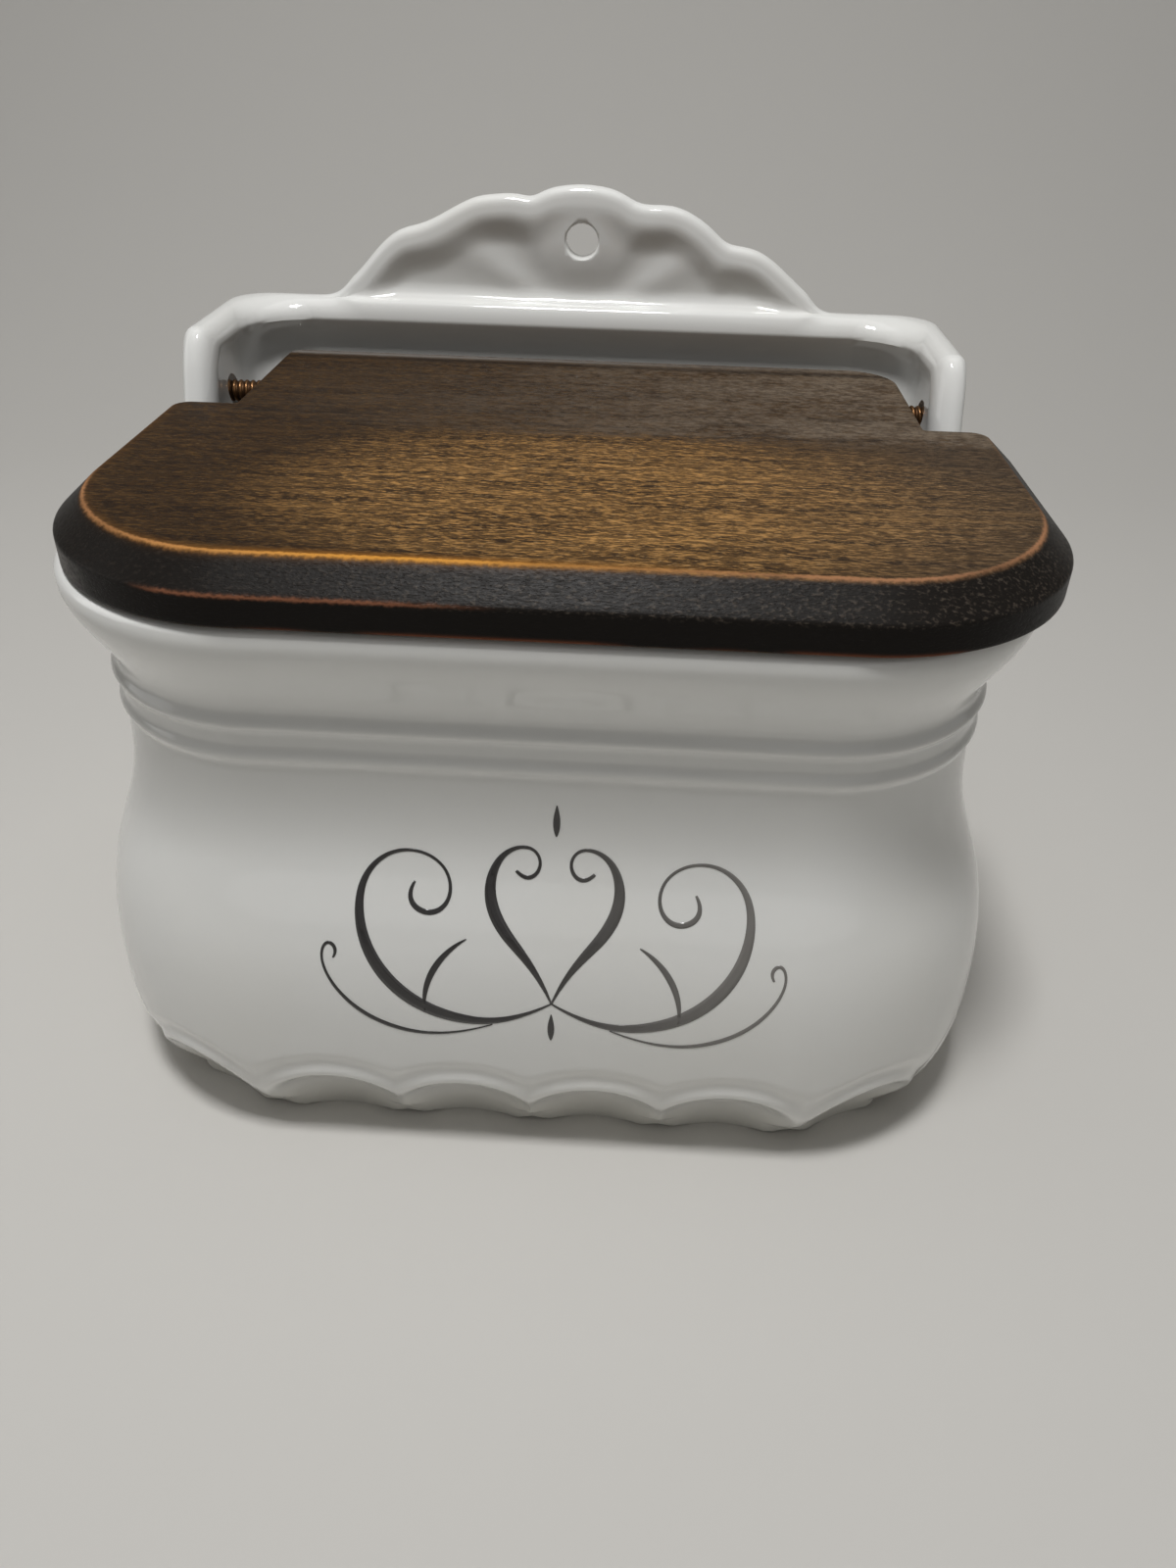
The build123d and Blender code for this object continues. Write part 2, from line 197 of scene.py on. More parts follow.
class Wire:
    """A node socket that takes part in arithmetic, in a shader or in a geometry tree."""

    def __init__(self, tree, socket=None):
        self.tree = tree
        self.socket = socket

    def node(self, kind, settings=None, inputs=None, output=0):
        """Adds a node, sets it up, fills its inputs and gives one of its outputs."""
        made = self.tree.nodes.new(kind)
        for name, value in (settings or {}).items():
            setattr(made, name, value)
        for key, value in (inputs or {}).items():
            if isinstance(value, Wire):
                self.tree.links.new(value.socket, made.inputs[key])
            else:
                made.inputs[key].default_value = value
        return Wire(self.tree, made.outputs[output])

    def out(self, name):
        """Another output of the same node."""
        return Wire(self.tree, self.socket.node.outputs[name])

    def maths(self, operation, *values):
        """A Math node of any operation."""
        return self.node("ShaderNodeMath", {"operation": operation}, dict(enumerate(values)))

    def __add__(self, other):
        return self.maths("ADD", self, other)

    def __sub__(self, other):
        return self.maths("SUBTRACT", self, other)

    def __rsub__(self, other):
        return self.maths("SUBTRACT", other, self)

    def __mul__(self, other):
        return self.maths("MULTIPLY", self, other)

    def __truediv__(self, other):
        return self.maths("DIVIDE", self, other)

    def __rtruediv__(self, other):
        return self.maths("DIVIDE", other, self)

    def __pow__(self, other):
        return self.maths("POWER", self, other)

    def __neg__(self):
        return self.maths("MULTIPLY", self, -1.0)

    def __abs__(self):
        return self.maths("ABSOLUTE", self)

    __radd__ = __add__
    __rmul__ = __mul__

    def most(self, other):
        """The greater of this value and another."""
        return self.maths("MAXIMUM", self, other)

    def least(self, other):
        """The lesser of this value and another."""
        return self.maths("MINIMUM", self, other)

    def bell(self, width):
        """1 where the value is 0, falling to nothing a few widths away."""
        ratio = self / width
        return self.maths("EXPONENT", -(ratio * ratio))

    def step(self, low, high):
        """0 below low and 1 above high, smooth between them."""
        return self.node(
            "ShaderNodeMapRange", {"interpolation_type": "SMOOTHSTEP"}, {"Value": self, 1: low, 2: high}
        )

    def blend(self, first, second):
        """The first colour where this value is 0 or less and the second where it is 1 or more."""
        ends = {key: end if isinstance(end, Wire) else (*end, 1) for key, end in ((6, first), (7, second))}
        return self.node("ShaderNodeMix", {"data_type": "RGBA"}, {0: self, **ends}, 2)

    def axes(self):
        """The X, Y and Z of a vector."""
        split = self.node("ShaderNodeSeparateXYZ", None, {0: self})
        return [split.out(name) for name in "XYZ"]

    def vector(self, x=0.0, y=0.0, z=0.0):
        """A vector from its X, Y and Z."""
        return self.node("ShaderNodeCombineXYZ", None, {0: x, 1: y, 2: z})

    def noise(self, scale, stretch=(1, 1, 1), detail=2.0, rough=0.5, turn=0.0):
        """Noise at this place, in lumps a metre; stretch multiplies them along each axis, turned round Z."""
        mapped = self.node(
            "ShaderNodeMapping", {"vector_type": "TEXTURE"},
            {"Vector": self, "Scale": [1 / each for each in stretch], "Rotation": (0, 0, turn)},
        )
        return self.node(
            "ShaderNodeTexNoise", None,
            {"Vector": mapped, "Scale": scale, "Detail": detail, "Roughness": rough},
        )

    def bump(self, distance, strength, below=None):
        """A Bump node with this height, over another one if below is given."""
        inputs = {"Strength": strength, "Distance": distance, "Height": self}
        return self.node("ShaderNodeBump", None, inputs if below is None else {**inputs, "Normal": below})


def start_material(name):
    """A new empty material, its tree and its Object coordinates."""
    material = bpy.data.materials.new(name)
    material.use_nodes = True
    material.node_tree.nodes.clear()
    tree = Wire(material.node_tree)
    return material, tree, tree.node("ShaderNodeTexCoord", None, None, "Object")


def finish_tree(tree, shader, kind):
    """Wires a shader to the tree's output, of a material or of a world."""
    output = tree.tree.nodes.new(kind)
    tree.tree.links.new(shader.socket, output.inputs["Surface"])


def finish_material(tree, constants, varying):
    """Adds the surface shader: constants are set on it, varying values are wired to it."""
    surface = tree.node("ShaderNodeBsdfPrincipled", None, {**constants, **varying})
    finish_tree(tree, surface, "ShaderNodeOutputMaterial")


def glaze_material(looks):
    """Glossy porcelain: nearly white, warmer at the foot, with a soft ripple and a few specks."""
    material, tree, place = start_material("porcelain_glaze")
    height = place.axes()[2]
    cloud = place.noise(14, detail=3)
    thin = (1 - height.step(1 * MM, 12 * MM)) * 0.5 + cloud.step(0.45, 0.7) * 0.2
    cells = tree.node("ShaderNodeTexVoronoi", {"feature": "F1"}, {"Vector": place, "Scale": 62})
    chance = tree.node("ShaderNodeSeparateColor", None, {0: cells.out("Color")})
    speck = (1 - cells.step(0.006, 0.014)) * chance.step(0.80, 0.82)
    ripple = place.noise(55, detail=1).bump(0.30 * MM, 0.22)
    finish_material(
        tree,
        {"Coat Weight": 0.2, "Coat Roughness": 0.04, "Specular IOR Level": 0.5},
        {
            "Base Color": (speck * 0.75).blend(thin.blend(looks.glaze, looks.glaze_warm), MARKS["speck"]),
            "Roughness": place.noise(35, detail=2) * 0.06 + (looks.glaze_gloss - 0.03),
            "Normal": (1 - speck).bump(0.05 * MM, 0.8, ripple),
        },
    )
    return material


def outside_top(lid, x, y):
    """How far a point lies outside the edge of the lid's top face, at the front and the sides."""
    radius = lid.corner - lid.bevel_out
    half = (lid_high.x - lid_low.x) / 2 - lid.bevel_out
    side_on = abs(x - lid_middle) - (half - radius)
    front_on = (lid_low.y + lid.bevel_out + radius) - y
    out_x, out_y = side_on.most(0.0), front_on.most(0.0)
    return (out_x * out_x + out_y * out_y) ** 0.5 + side_on.most(front_on).least(0.0) - radius


def stained_top(looks, place, not_under):
    """Stain with short crossing flecks along X: golden in the middle, where light is painted on the lid,
    darkened at the rear by a painted shadow of the hood, and greyer at the rear and right.
    """
    x, y, _ = place.axes()
    streak = place.noise(1, (30, 560, 560), 4, 0.6)
    falling = place.noise(1, (430, 2300, 2300), 3, 0.65, 0.12)
    rising = place.noise(1, (480, 2000, 2000), 3, 0.65, -0.16)
    fleck = falling.most(rising).step(0.50, 0.68)
    cloud = place.noise(24, (0.6, 1.4, 1), 3)
    pore = place.noise(1, (800, 3600, 3600), 1)
    mottle = place.noise(1, (480, 900, 900), 4, 0.7)
    broad = place.noise(1, (38, 120, 120), 3, 0.6)

    # Painted light: the golden middle is the lit patch of the lid, where the stain's flecks show golden
    golden_x, golden_y = (x - lid_middle - 12 * MM) / (54 * MM), (y + 26 * MM) / (30 * MM)
    golden = 1 - (golden_x * golden_x + golden_y * golden_y + (cloud - 0.5) * 1.3).step(0.15, 1.7)
    # Painted shadow: the hood and crest shade the lid's rear, so the golden middle fades out behind this edge
    rear = (y + (streak - 0.5) * (14 * MM)).step(0, 7 * MM)
    golden = golden * (1 - rear * 0.9) * (not_under * 0.85 + 0.15)
    lightness = (golden * 0.84 + 0.16) * (fleck * 0.78 + streak.step(0.35, 0.7) * 0.28 + 0.03)
    # Grey mottle at the rear: weathered stain with painted sheen, stronger to the right
    at_rear = mottle.step(0.36, 0.66) * 0.34 + broad.step(0.35, 0.65) * 0.20
    at_rear = rear * at_rear * (x.step(-70 * MM, 80 * MM) * 2.1 + 0.04)
    at_right = x.step(15 * MM, 75 * MM) * (fleck * 0.30 + 0.12)
    stain = at_rear.most(at_right).blend(lightness.blend(looks.stain, looks.stain_light), looks.stain_grey)

    # Dark streaks in a band just behind the golden middle
    dark_streak = place.noise(1, (42, 210, 210), 4, 0.65, 0.03).step(0.55, 0.68)
    from_rear = lid_high.y - y
    # Painted highlight: a grey line of light along the tongue's rounded rear edge, fainter to the right
    rear_edge_sheen = (from_rear - 1.7 * MM + (mottle - 0.5) * (1.5 * MM)).bell(1.2 * MM)
    for strength, mark in (
        (dark_streak * ((y - 8 * MM) / (9 * MM)).bell(1.0) * 0.7, "dark_streak"),
        (pore.step(0.66, 0.74) * (golden * 0.45 + 0.10), "light_pore"),
        ((1 - pore.step(0.30, 0.38)) * 0.6, "dark_pore"),
        ((from_rear - 4.8 * MM).bell(1.4 * MM) * 0.6, "dark_line"),
        (rear_edge_sheen * (1 - x.step(-30 * MM, 60 * MM) * 0.8) * 0.85, "rear_edge_sheen"),
    ):
        stain = strength.blend(stain, MARKS[mark])
    return stain, streak, fleck, pore


def wood_material(looks, lid):
    """Stained wood with a golden middle painted as lit, worn edges and a black bevel whose pale specks are
    dust and painted sheen.
    """
    material, tree, place = start_material("stained_wood")
    x, y, z = place.axes()
    outside = outside_top(lid, x, y)
    bevel_low = lid_high.z - lid.bevel_down
    not_under = z.step(lid_low.z + 0.05 * MM, lid_low.z + 0.4 * MM)
    stain, streak, fleck, pore = stained_top(looks, place, not_under)

    on_bevel = outside.step(0.2 * MM, 0.8 * MM) * not_under
    on_side = 1 - z.step(bevel_low - 1 * MM, bevel_low + 0.2 * MM)
    speckle = place.noise(1, (1300, 2200, 2200), 2)
    scratch = place.noise(1, (160, 1500, 1500), 2, 0.5, 0.5)
    # Pale specks on the bevel are dust and painted sheen, brighter towards the middle and right
    bevel_dust_and_sheen = speckle.step(0.50, 0.75) * (1 - on_side) * (x.step(-50 * MM, 0) * 0.26 + 0.08)
    rubbed_x, rubbed_y = (x - lid_low.x) / (12 * MM), (y + 40 * MM) / (15 * MM)
    rubbed = 1 - (rubbed_x * rubbed_x + rubbed_y * rubbed_y).step(0.2, 2.2)
    rubbed = rubbed * on_side * (scratch.step(0.4, 0.7) * 0.7 + 0.2)
    bevel = rubbed.blend(bevel_dust_and_sheen.blend(looks.bevel_black, MARKS["dust_and_sheen"]), MARKS["rubbed"])

    ragged = place.noise(1300, detail=3)
    patchy = place.noise(42, detail=2)
    bright = ((x + 18 * MM) / (36 * MM)).bell(1.0)
    worn_top = (outside + (ragged - 0.5) * (0.8 * MM)).bell(0.34 * MM) * (patchy.step(0.28, 0.55) * 0.6 + 0.4)
    worn_top = worn_top * not_under * (1 - y.step(-36 * MM, -20 * MM) * 0.88)
    glow = (outside + 0.5 * MM).bell(1.0 * MM) * bright * not_under * 0.45
    on_edge = outside.step(4 * MM, 5 * MM)
    low_line = (z - bevel_low + (ragged - 0.5) * (0.7 * MM)).bell(0.26 * MM) * on_edge
    low_line = low_line * x.step(-57 * MM, -50 * MM) * (1 - x.step(-24 * MM, -2 * MM)) * (patchy * 0.6 + 0.6)
    floor_line = (z - lid_low.z - 0.3 * MM).bell(0.30 * MM) * patchy.step(0.45, 0.6) * on_edge
    wood = on_bevel.blend(stain, bevel)
    for strength, paint in (
        (glow, MARKS["glow"]),
        (worn_top * 1.1, bright.blend(looks.bare_copper, looks.bare_wood)),
        (low_line * 0.85, MARKS["low_line"]),
        (floor_line * 0.6, MARKS["floor_line"]),
    ):
        wood = strength.blend(wood, paint)

    grain = None
    for height, depth, strength in (
        (streak, 0.08, 0.3), (pore.step(0.30, 0.42), 0.06, 0.4), (speckle * on_bevel, 0.10, 0.4),
    ):
        grain = height.bump(depth * MM, strength, grain)
    rough = 0.52 + fleck * 0.10 - on_bevel * 0.14 + worn_top * 0.10
    finish_material(
        tree, {"Specular IOR Level": 0.09}, {"Base Color": wood, "Roughness": rough, "Normal": grain}
    )
    return material


def brass_material(looks):
    """Tarnished brass, darker in the thread's roots."""
    material, tree, place = start_material("tarnished_brass")
    _, y, z = place.axes()
    rise, depth = z - hinge.z, y - hinge.y
    crest = ((rise * rise + depth * depth) ** 0.5).step(1.85 * MM, 2.15 * MM)
    tarnish = place.noise(900, detail=4)
    dull = (1 - crest) * 0.8 + tarnish.step(0.45, 0.7) * 0.5
    finish_material(tree, {"Metallic": 0.9}, {
        "Base Color": dull.blend(looks.brass, MARKS["tarnish"]),
        "Roughness": 0.30 + dull * 0.25,
        "Normal": tarnish.bump(0.04 * MM, 0.5),
    })
    return material


def enamel_material(looks):
    """Dark glossy enamel that thins to grey towards the right."""
    material, tree, place = start_material("dark_enamel")
    patch = place.noise(260, detail=3)
    faded = place.axes()[0].step(-6 * MM, 42 * MM) * 0.85 + (patch - 0.5) * 0.15
    finish_material(
        tree,
        {"Coat Weight": 0.4, "Coat Roughness": 0.05},
        {"Base Color": faded.blend(looks.enamel, looks.enamel_grey), "Roughness": 0.14 + patch * 0.10},
    )
    return material


def stage_material(looks):
    """Plain pale paper for the floor and the backdrop."""
    material, tree, place = start_material("studio_paper")
    paper = (place.noise(6, detail=2) * 0.06).blend(looks.floor, MARKS["paper_shade"])
    finish_material(tree, {"Roughness": 0.8, "Specular IOR Level": 0.2}, {"Base Color": paper})
    return material


def spline(points, first_slope, last_slope):
    """A smooth cubic curve through (place, value) points with the given end slopes."""
    places, values = (np.array(column, float) for column in zip(*points))
    gaps = np.diff(places)
    rates = np.diff(values) / gaps
    matrix, right = np.eye(len(places)), np.zeros(len(places))
    right[0], right[-1] = first_slope, last_slope
    for row in range(1, len(places) - 1):
        matrix[row, row - 1:row + 2] = gaps[row], 2 * (gaps[row - 1] + gaps[row]), gaps[row - 1]
        right[row] = 3 * (gaps[row] * rates[row - 1] + gaps[row - 1] * rates[row])
    slopes = np.linalg.solve(matrix, right)

    def value_at(place):
        place = np.clip(place, places[0], places[-1])
        i = np.clip(np.searchsorted(places, place, side="right") - 1, 0, len(gaps) - 1)
        t = (place - places[i]) / gaps[i]
        start = (1 + 2 * t) * (1 - t) ** 2 * values[i] + t * (1 - t) ** 2 * gaps[i] * slopes[i]
        end = t * t * (3 - 2 * t) * values[i + 1] + t * t * (t - 1) * gaps[i] * slopes[i + 1]
        return start + end

    return value_at


def ease(low, high, value):
    """0 below low and 1 above high, smooth between them."""
    t = np.clip((value - low) / (high - low), 0, 1)
    return t * t * (3 - 2 * t)


def soft_max(first, second, reach):
    """The greater of two values, rounded where they are within reach of each other."""
    share_first = np.clip(0.5 + 0.5 * (first - second) / reach, 0, 1)
    return second + (first - second) * share_first + reach * share_first * (1 - share_first)


def mesh_object(name, points, faces):
    """A new smooth object at the origin from points and faces."""
    mesh = bpy.data.meshes.new(name)
    corners = [tuple(int(i) for i in face) for face in faces]
    mesh.from_pydata([tuple(point) for point in points], [], corners, shade_flat=False)
    mesh.validate()
    made = bpy.data.objects.new(name, mesh)
    bpy.context.scene.collection.objects.link(made)
    return made


def ring_faces(rows, count, first=0):
    """Faces between neighbouring rings of count points each, numbered from first on."""
    faces = []
    for low in range(first, first + (rows - 1) * count, count):
        for here in range(count):
            after = (here + 1) % count
            faces.append((low + here, low + after, low + count + after, low + count + here))
    return faces


def set_finish(piece, material):
    """Gives a piece one material."""
    piece.data.materials.clear()
    piece.data.materials.append(material)


def freeze(piece):
    """Turns a piece's modifiers into its mesh."""
    graph = bpy.context.evaluated_depsgraph_get()
    frozen = bpy.data.meshes.new_from_object(piece.evaluated_get(graph))
    piece.modifiers.clear()
    old, piece.data = piece.data, frozen
    bpy.data.meshes.remove(old)


def turn_outside(piece):
    """Merges a closed mesh's doubles, makes its faces point outwards and shades them smooth."""
    work = bmesh.new()
    work.from_mesh(piece.data)
    bmesh.ops.remove_doubles(work, verts=work.verts, dist=0.0005 * MM)
    bmesh.ops.recalc_face_normals(work, faces=work.faces)
    for face in work.faces:
        face.smooth = True
    work.to_mesh(piece.data)
    work.free()


# The pot's columns, in steps round half of its outline from the front's middle to the back's
FRONT_STEPS = 44
CORNER_STEPS = 50
SIDE_STEPS = 26
CHEEK_STEPS = 26
BEHIND_STEPS = 14
BACK_CORNER_STEPS = 6
OUTER_BACK_STEPS = 6
CREST_STEPS = 66
CHEEK_ZONE_START = 15 * MM
CHEEK_ZONE_END = 30 * MM
CREST_ZONE = 60.5 * MM
# Radius of the pot's upright back corners
BACK_CORNER = 2 * MM
# The wall's line between its named sizes: height, and how far it lies inside the belly
LOW_BELLY = (11 * MM, 1.7 * MM)
FLANK = ((48 * MM, 3.5 * MM), (60.5 * MM, 8.2 * MM))
WAIST_LOW, WAIST_HIGH = 77.3 * MM, 86.5 * MM
COVE = (94 * MM, 7.3 * MM)
# Half the height of a bead at the waist, and the radius of the cheeks' holes
BEAD_HALF = 2.0 * MM
CHEEK_HOLE_RADIUS = 3.3 * MM
# How far a hole's mouths flare, and the sides of the round cutters for the holes and the pins' bores
MOUTH_FLARE = 0.6 * MM
HOLE_SIDES, BORE_SIDES = 48, 32
# The crest's edge on the right and the left: distance from its middle, and how far it has dropped there
CREST_EDGES = {
    1: [
        (0, 0), (4, 0.3), (8, 1.4), (11.2, 2.9), (15.5, 3.3), (19.2, 3.6), (23.1, 5.1), (26.9, 7.6),
        (29.8, 9.8), (32.6, 10.5), (37.4, 11.7), (42.1, 14.8), (51.6, 21.5), (56, 22.65), (60.5, 22.8),
    ],
    -1: [
        (0, 0), (4, 0.3), (8, 1.35), (10.6, 2.35), (13, 2.15), (17.7, 2.2), (22.4, 3.0), (26.3, 4.7),
        (33.8, 8.2), (38.6, 9.7), (44.3, 14.4), (48, 18.2), (52.8, 21.2), (57, 22.5), (60.5, 22.8),
    ],
}
# The crest's broad faint ridges: direction from upright in degrees, height and width in degrees
CREST_RIDGES = ((30, 0.45, 8.0), (60, 0.55, 9.0))


def steps(start, end, count):
    """Even places after start, up to end."""
    return start + (end - start) * np.arange(1, count + 1) / count


def half_ring(width, front, front_radius, back, back_radius):
    """x and y of the columns of one ring, from the front's middle to the back's middle."""
    corner_x, corner_y = width - front_radius, front + front_radius
    turn, back_turn = steps(0, math.pi / 2, CORNER_STEPS), steps(0, math.pi / 2, BACK_CORNER_STEPS)
    side = np.concatenate([
        steps(corner_y, CHEEK_ZONE_START, SIDE_STEPS),
        steps(CHEEK_ZONE_START, CHEEK_ZONE_END, CHEEK_STEPS),
        steps(CHEEK_ZONE_END, back - back_radius, BEHIND_STEPS),
    ])
    zone = min(CREST_ZONE, width - back_radius - 0.8 * MM)
    across = np.concatenate([steps(width - back_radius, zone, OUTER_BACK_STEPS), steps(zone, 0, CREST_STEPS)])
    x = np.concatenate([
        [0], steps(0, corner_x, FRONT_STEPS), corner_x + front_radius * np.sin(turn),
        np.full(len(side), width), width - back_radius * (1 - np.cos(back_turn)), across,
    ])
    y = np.concatenate([
        np.full(FRONT_STEPS + 1, front), corner_y - front_radius * np.cos(turn), side,
        back - back_radius * (1 - np.sin(back_turn)), np.full(len(across), back),
    ])
    return x, y


def crest_outline(x, side):
    """Height of the crest's lobed top edge at each x of one side, and how steep it is."""
    drop = spline([(place * MM, low * MM) for place, low in CREST_EDGES[side]], 0, 0)
    fine = np.linspace(0, CREST_ZONE, 1211)
    height = pot_high.z - drop(fine)
    return np.interp(x, fine, height), np.interp(x, fine, np.gradient(height, fine))


def crest_relief(x, z, edge, steep):
    """How far the crest's front face stands out of its plane: a soft wide border round a rippled hollow."""
    centre_z = edge.min() - 4 * MM
    angle = np.degrees(np.arctan2(np.abs(x), z - centre_z))
    from_hole = np.hypot(x - hanging_hole.x, z - hanging_hole.z)
    below = (edge - z) / steep
    ridges = sum(tall * np.exp(-((angle - at) / wide) ** 2) for at, tall, wide in CREST_RIDGES)
    ridges = ridges * ease(8 * MM, 20 * MM, np.hypot(x, z - centre_z))
    border = (0.30 - 0.9 * (1 - ease(-2 * MM, 5 * MM, below))) * MM
    hollow = ease(2.8 * MM, 9.5 * MM, below) * (1.75 - ridges) * MM
    near_hole = 0.15 + 0.85 * ease(3 * MM, 13 * MM, from_hole)
    return border - hollow * near_hole


class PotShape:
    """The pot's skin as rings of columns, from the middle of its underside to the middle of its floor."""

    def __init__(self, sizes, side):
        self.sizes = sizes
        self.rings = []
        self.column_x, along = half_ring(half_width, front_y, sizes.corner_radius, back_y, BACK_CORNER)
        self.columns = len(self.column_x)
        number = np.arange(self.columns)
        self.is_crest = number > self.columns - CREST_STEPS - 2
        along = np.where(number > FRONT_STEPS + CORNER_STEPS + SIDE_STEPS + CHEEK_STEPS, 1.0, along)
        self.along = np.where(number <= FRONT_STEPS + CORNER_STEPS, -1.0, along)
        self.hooded = ease(sizes.cheek_root - 2.2 * MM, sizes.cheek_root + 0.8 * MM, self.along)
        self.crest_top, slope = crest_outline(self.column_x, side)
        self.steep = np.sqrt(1 + slope ** 2)
        self.crest_share = ease(0, 4 * MM, self.crest_top - sizes.hood_top) * self.is_crest

    def rise(self, edge, crest=False):
        """How far the wall stands above the rim at each column, edge in from its outline."""
        s = self.sizes
        tall = s.hood_top - s.rim_height
        slope = tall / s.cheek_lean
        ramp = (self.along - s.cheek_root - edge * (math.hypot(1, slope) / slope)) * slope
        roof = tall - edge
        top = -soft_max(-ramp, -roof, s.crown_reach)
        if crest:
            crested = self.crest_top - s.rim_height - edge * self.steep
            top = np.where(self.is_crest, soft_max(crested, roof, 0.8 * MM), top)
        return soft_max(top, 0.0, 1.2 * MM) * (top > -3 * MM)

    def ring(self, inset, height, hood=None, rise=0.0, wall=0.0, relief=0.0):
        """Adds a ring: inset is for the open front, hood gives (half width, back, corner) behind it."""
        width, back, corner = hood or (half_width - inset, back_y, BACK_CORNER)
        front, radius = front_y + inset, max(self.sizes.corner_radius - inset, 1 * MM)
        x, y = half_ring(half_width - inset, front, radius, back, corner)
        hooded_x, hooded_y = half_ring(width, front, radius, back, corner)
        x = x + (hooded_x - x) * self.hooded
        y = y + (hooded_y - y) * self.hooded - relief
        self.rings.append((x, y, np.full(self.columns, float(height)) + rise, wall))
        return x, y

    def scaled_ring(self, outline, share_out, height):
        """Adds a ring that is an outline drawn in towards the middle of the pot."""
        x, y = outline
        middle = (front_y + back_y) / 2
        z = np.full(self.columns, height)
        self.rings.append((x * share_out, middle + (y - middle) * share_out, z, 0.0))


def wall_line(sizes, inside):
    """How far the wall's inner or outer face lies inside the belly, as a function of height."""
    s = sizes
    deep = s.wall if inside else 0
    rim_end = (s.rim_height - s.rim_round, s.rim_inset + (s.rim_thickness if inside else 0))
    waist = s.waist_inset + deep
    flank = [(s.belly_height, deep), *((up, inset + deep) for up, inset in FLANK), (WAIST_LOW, waist)]
    cove = spline([(WAIST_HIGH, waist), (COVE[0], COVE[1] + deep), rim_end], 0, 0)
    if inside:
        below = above = spline([(s.floor_top, s.foot_inset + deep + s.foot_recess), *flank], -1.5, 0)
        beads = ()
    else:
        below = spline([(s.foot_band, s.foot_inset), LOW_BELLY, (s.belly_height, 0)], -1.25, 0)
        above = spline(flank, 0, 0)
        beads = ((s.upper_bead, s.bead_out), (s.lower_bead, 0.75 * s.bead_out))

    def inset_at(height):
        line = cove if height > WAIST_HIGH else below if height < s.belly_height else above
        inset = line(height)
        for bead, size in beads:
            near = min(abs(height - bead) / BEAD_HALF, 1.0)
            inset = inset - size * np.cos(near * math.pi / 2) ** 2
        return float(inset)

    return inset_at


def pot_rings(sizes, side):
    """All rings of one side of the pot, in order."""
    s = sizes
    shape = PotShape(s, side)
    outer, inner = wall_line(s, False), wall_line(s, True)
    foot_inner, ring_back = s.foot_inset + s.wall, back_y - s.wall
    cheek_inner, hood_front = s.cheek_outer - s.cheek_thickness, back_y - s.hood_back
    rim_low = s.rim_height - s.rim_round

    base = half_ring(
        half_width - foot_inner - 1 * MM, front_y + foot_inner + 1 * MM, 26 * MM, ring_back - 1 * MM, 4 * MM,
    )
    for share_out in (0.0, 0.4, 0.8):
        shape.scaled_ring(base, share_out, s.foot_recess)
    for at_front, behind, height, wall in (
        (1, 1, s.foot_recess, 0), (0, 0, s.foot_recess - 0.7 * MM, 0),
        (-0.2, 0, 0.25 * MM, 0), (-0.8, -0.8, 0, 0.15),
    ):
        hood = (half_width - foot_inner - behind * MM, ring_back - behind * MM, 4 * MM)
        shape.ring(foot_inner + at_front * MM, height, hood, wall=wall)
    for out, up in ((3.4, 0), (1.9, 0), (1.0, 0), (0.3, 0.25), (0.0, 0.9), (0.0, 1.7)):
        edge = s.foot_inset + out * MM
        hood = (half_width - edge, back_y - min(out, 1) * 0.8 * MM, BACK_CORNER)
        shape.ring(edge, up * MM, hood, wall=1.0 if out < 2 else 0.55)
    for low, high, gap in (
        (s.foot_band, 26 * MM, 0.75), (26 * MM, 76 * MM, 2.6),
        (76 * MM, 88 * MM, 0.46), (88 * MM, rim_low, 1.8),
    ):
        for height in np.arange(low, high, gap * MM):
            shape.ring(outer(height), height, wall=1.0)
    for lip in steps(0, math.pi / 2, 5):
        shape.ring(
            s.rim_inset + s.rim_round * (1 - math.cos(lip)), s.rim_height - s.rim_round * (1 - math.sin(lip))
        )
    add_hood(shape, cheek_inner, hood_front)
    for lip in steps(0, math.pi / 2, 4):
        inset = s.rim_inset + s.rim_thickness - s.rim_round * (1 - math.sin(lip))
        shape.ring(inset, s.rim_height - s.rim_round * (1 - math.cos(lip)), (cheek_inner, hood_front, 12 * MM))
    for high, low, count in (
        (rim_low, WAIST_HIGH, 7), (WAIST_HIGH, 76 * MM, 3), (76 * MM, 12 * MM, 16),
        (12 * MM, s.floor_top + 0.6 * MM, 4),
    ):
        for height in steps(high, low, count):
            inset = inner(height)
            width = cheek_inner if height > WAIST_HIGH else half_width - inset
            corner = (8 + 4 * ease(77 * MM, 92 * MM, height)) * MM
            shape.ring(inset, height, (width, hood_front, corner))
    inset = inner(s.floor_top)
    last = shape.ring(
        inset + 1 * MM, s.floor_top, (half_width - inset - 1 * MM, hood_front - 1 * MM, 8 * MM)
    )
    for share_out in (0.96, 0.7, 0.35, 0.0):
        shape.scaled_ring(last, share_out, s.floor_top)
    return shape


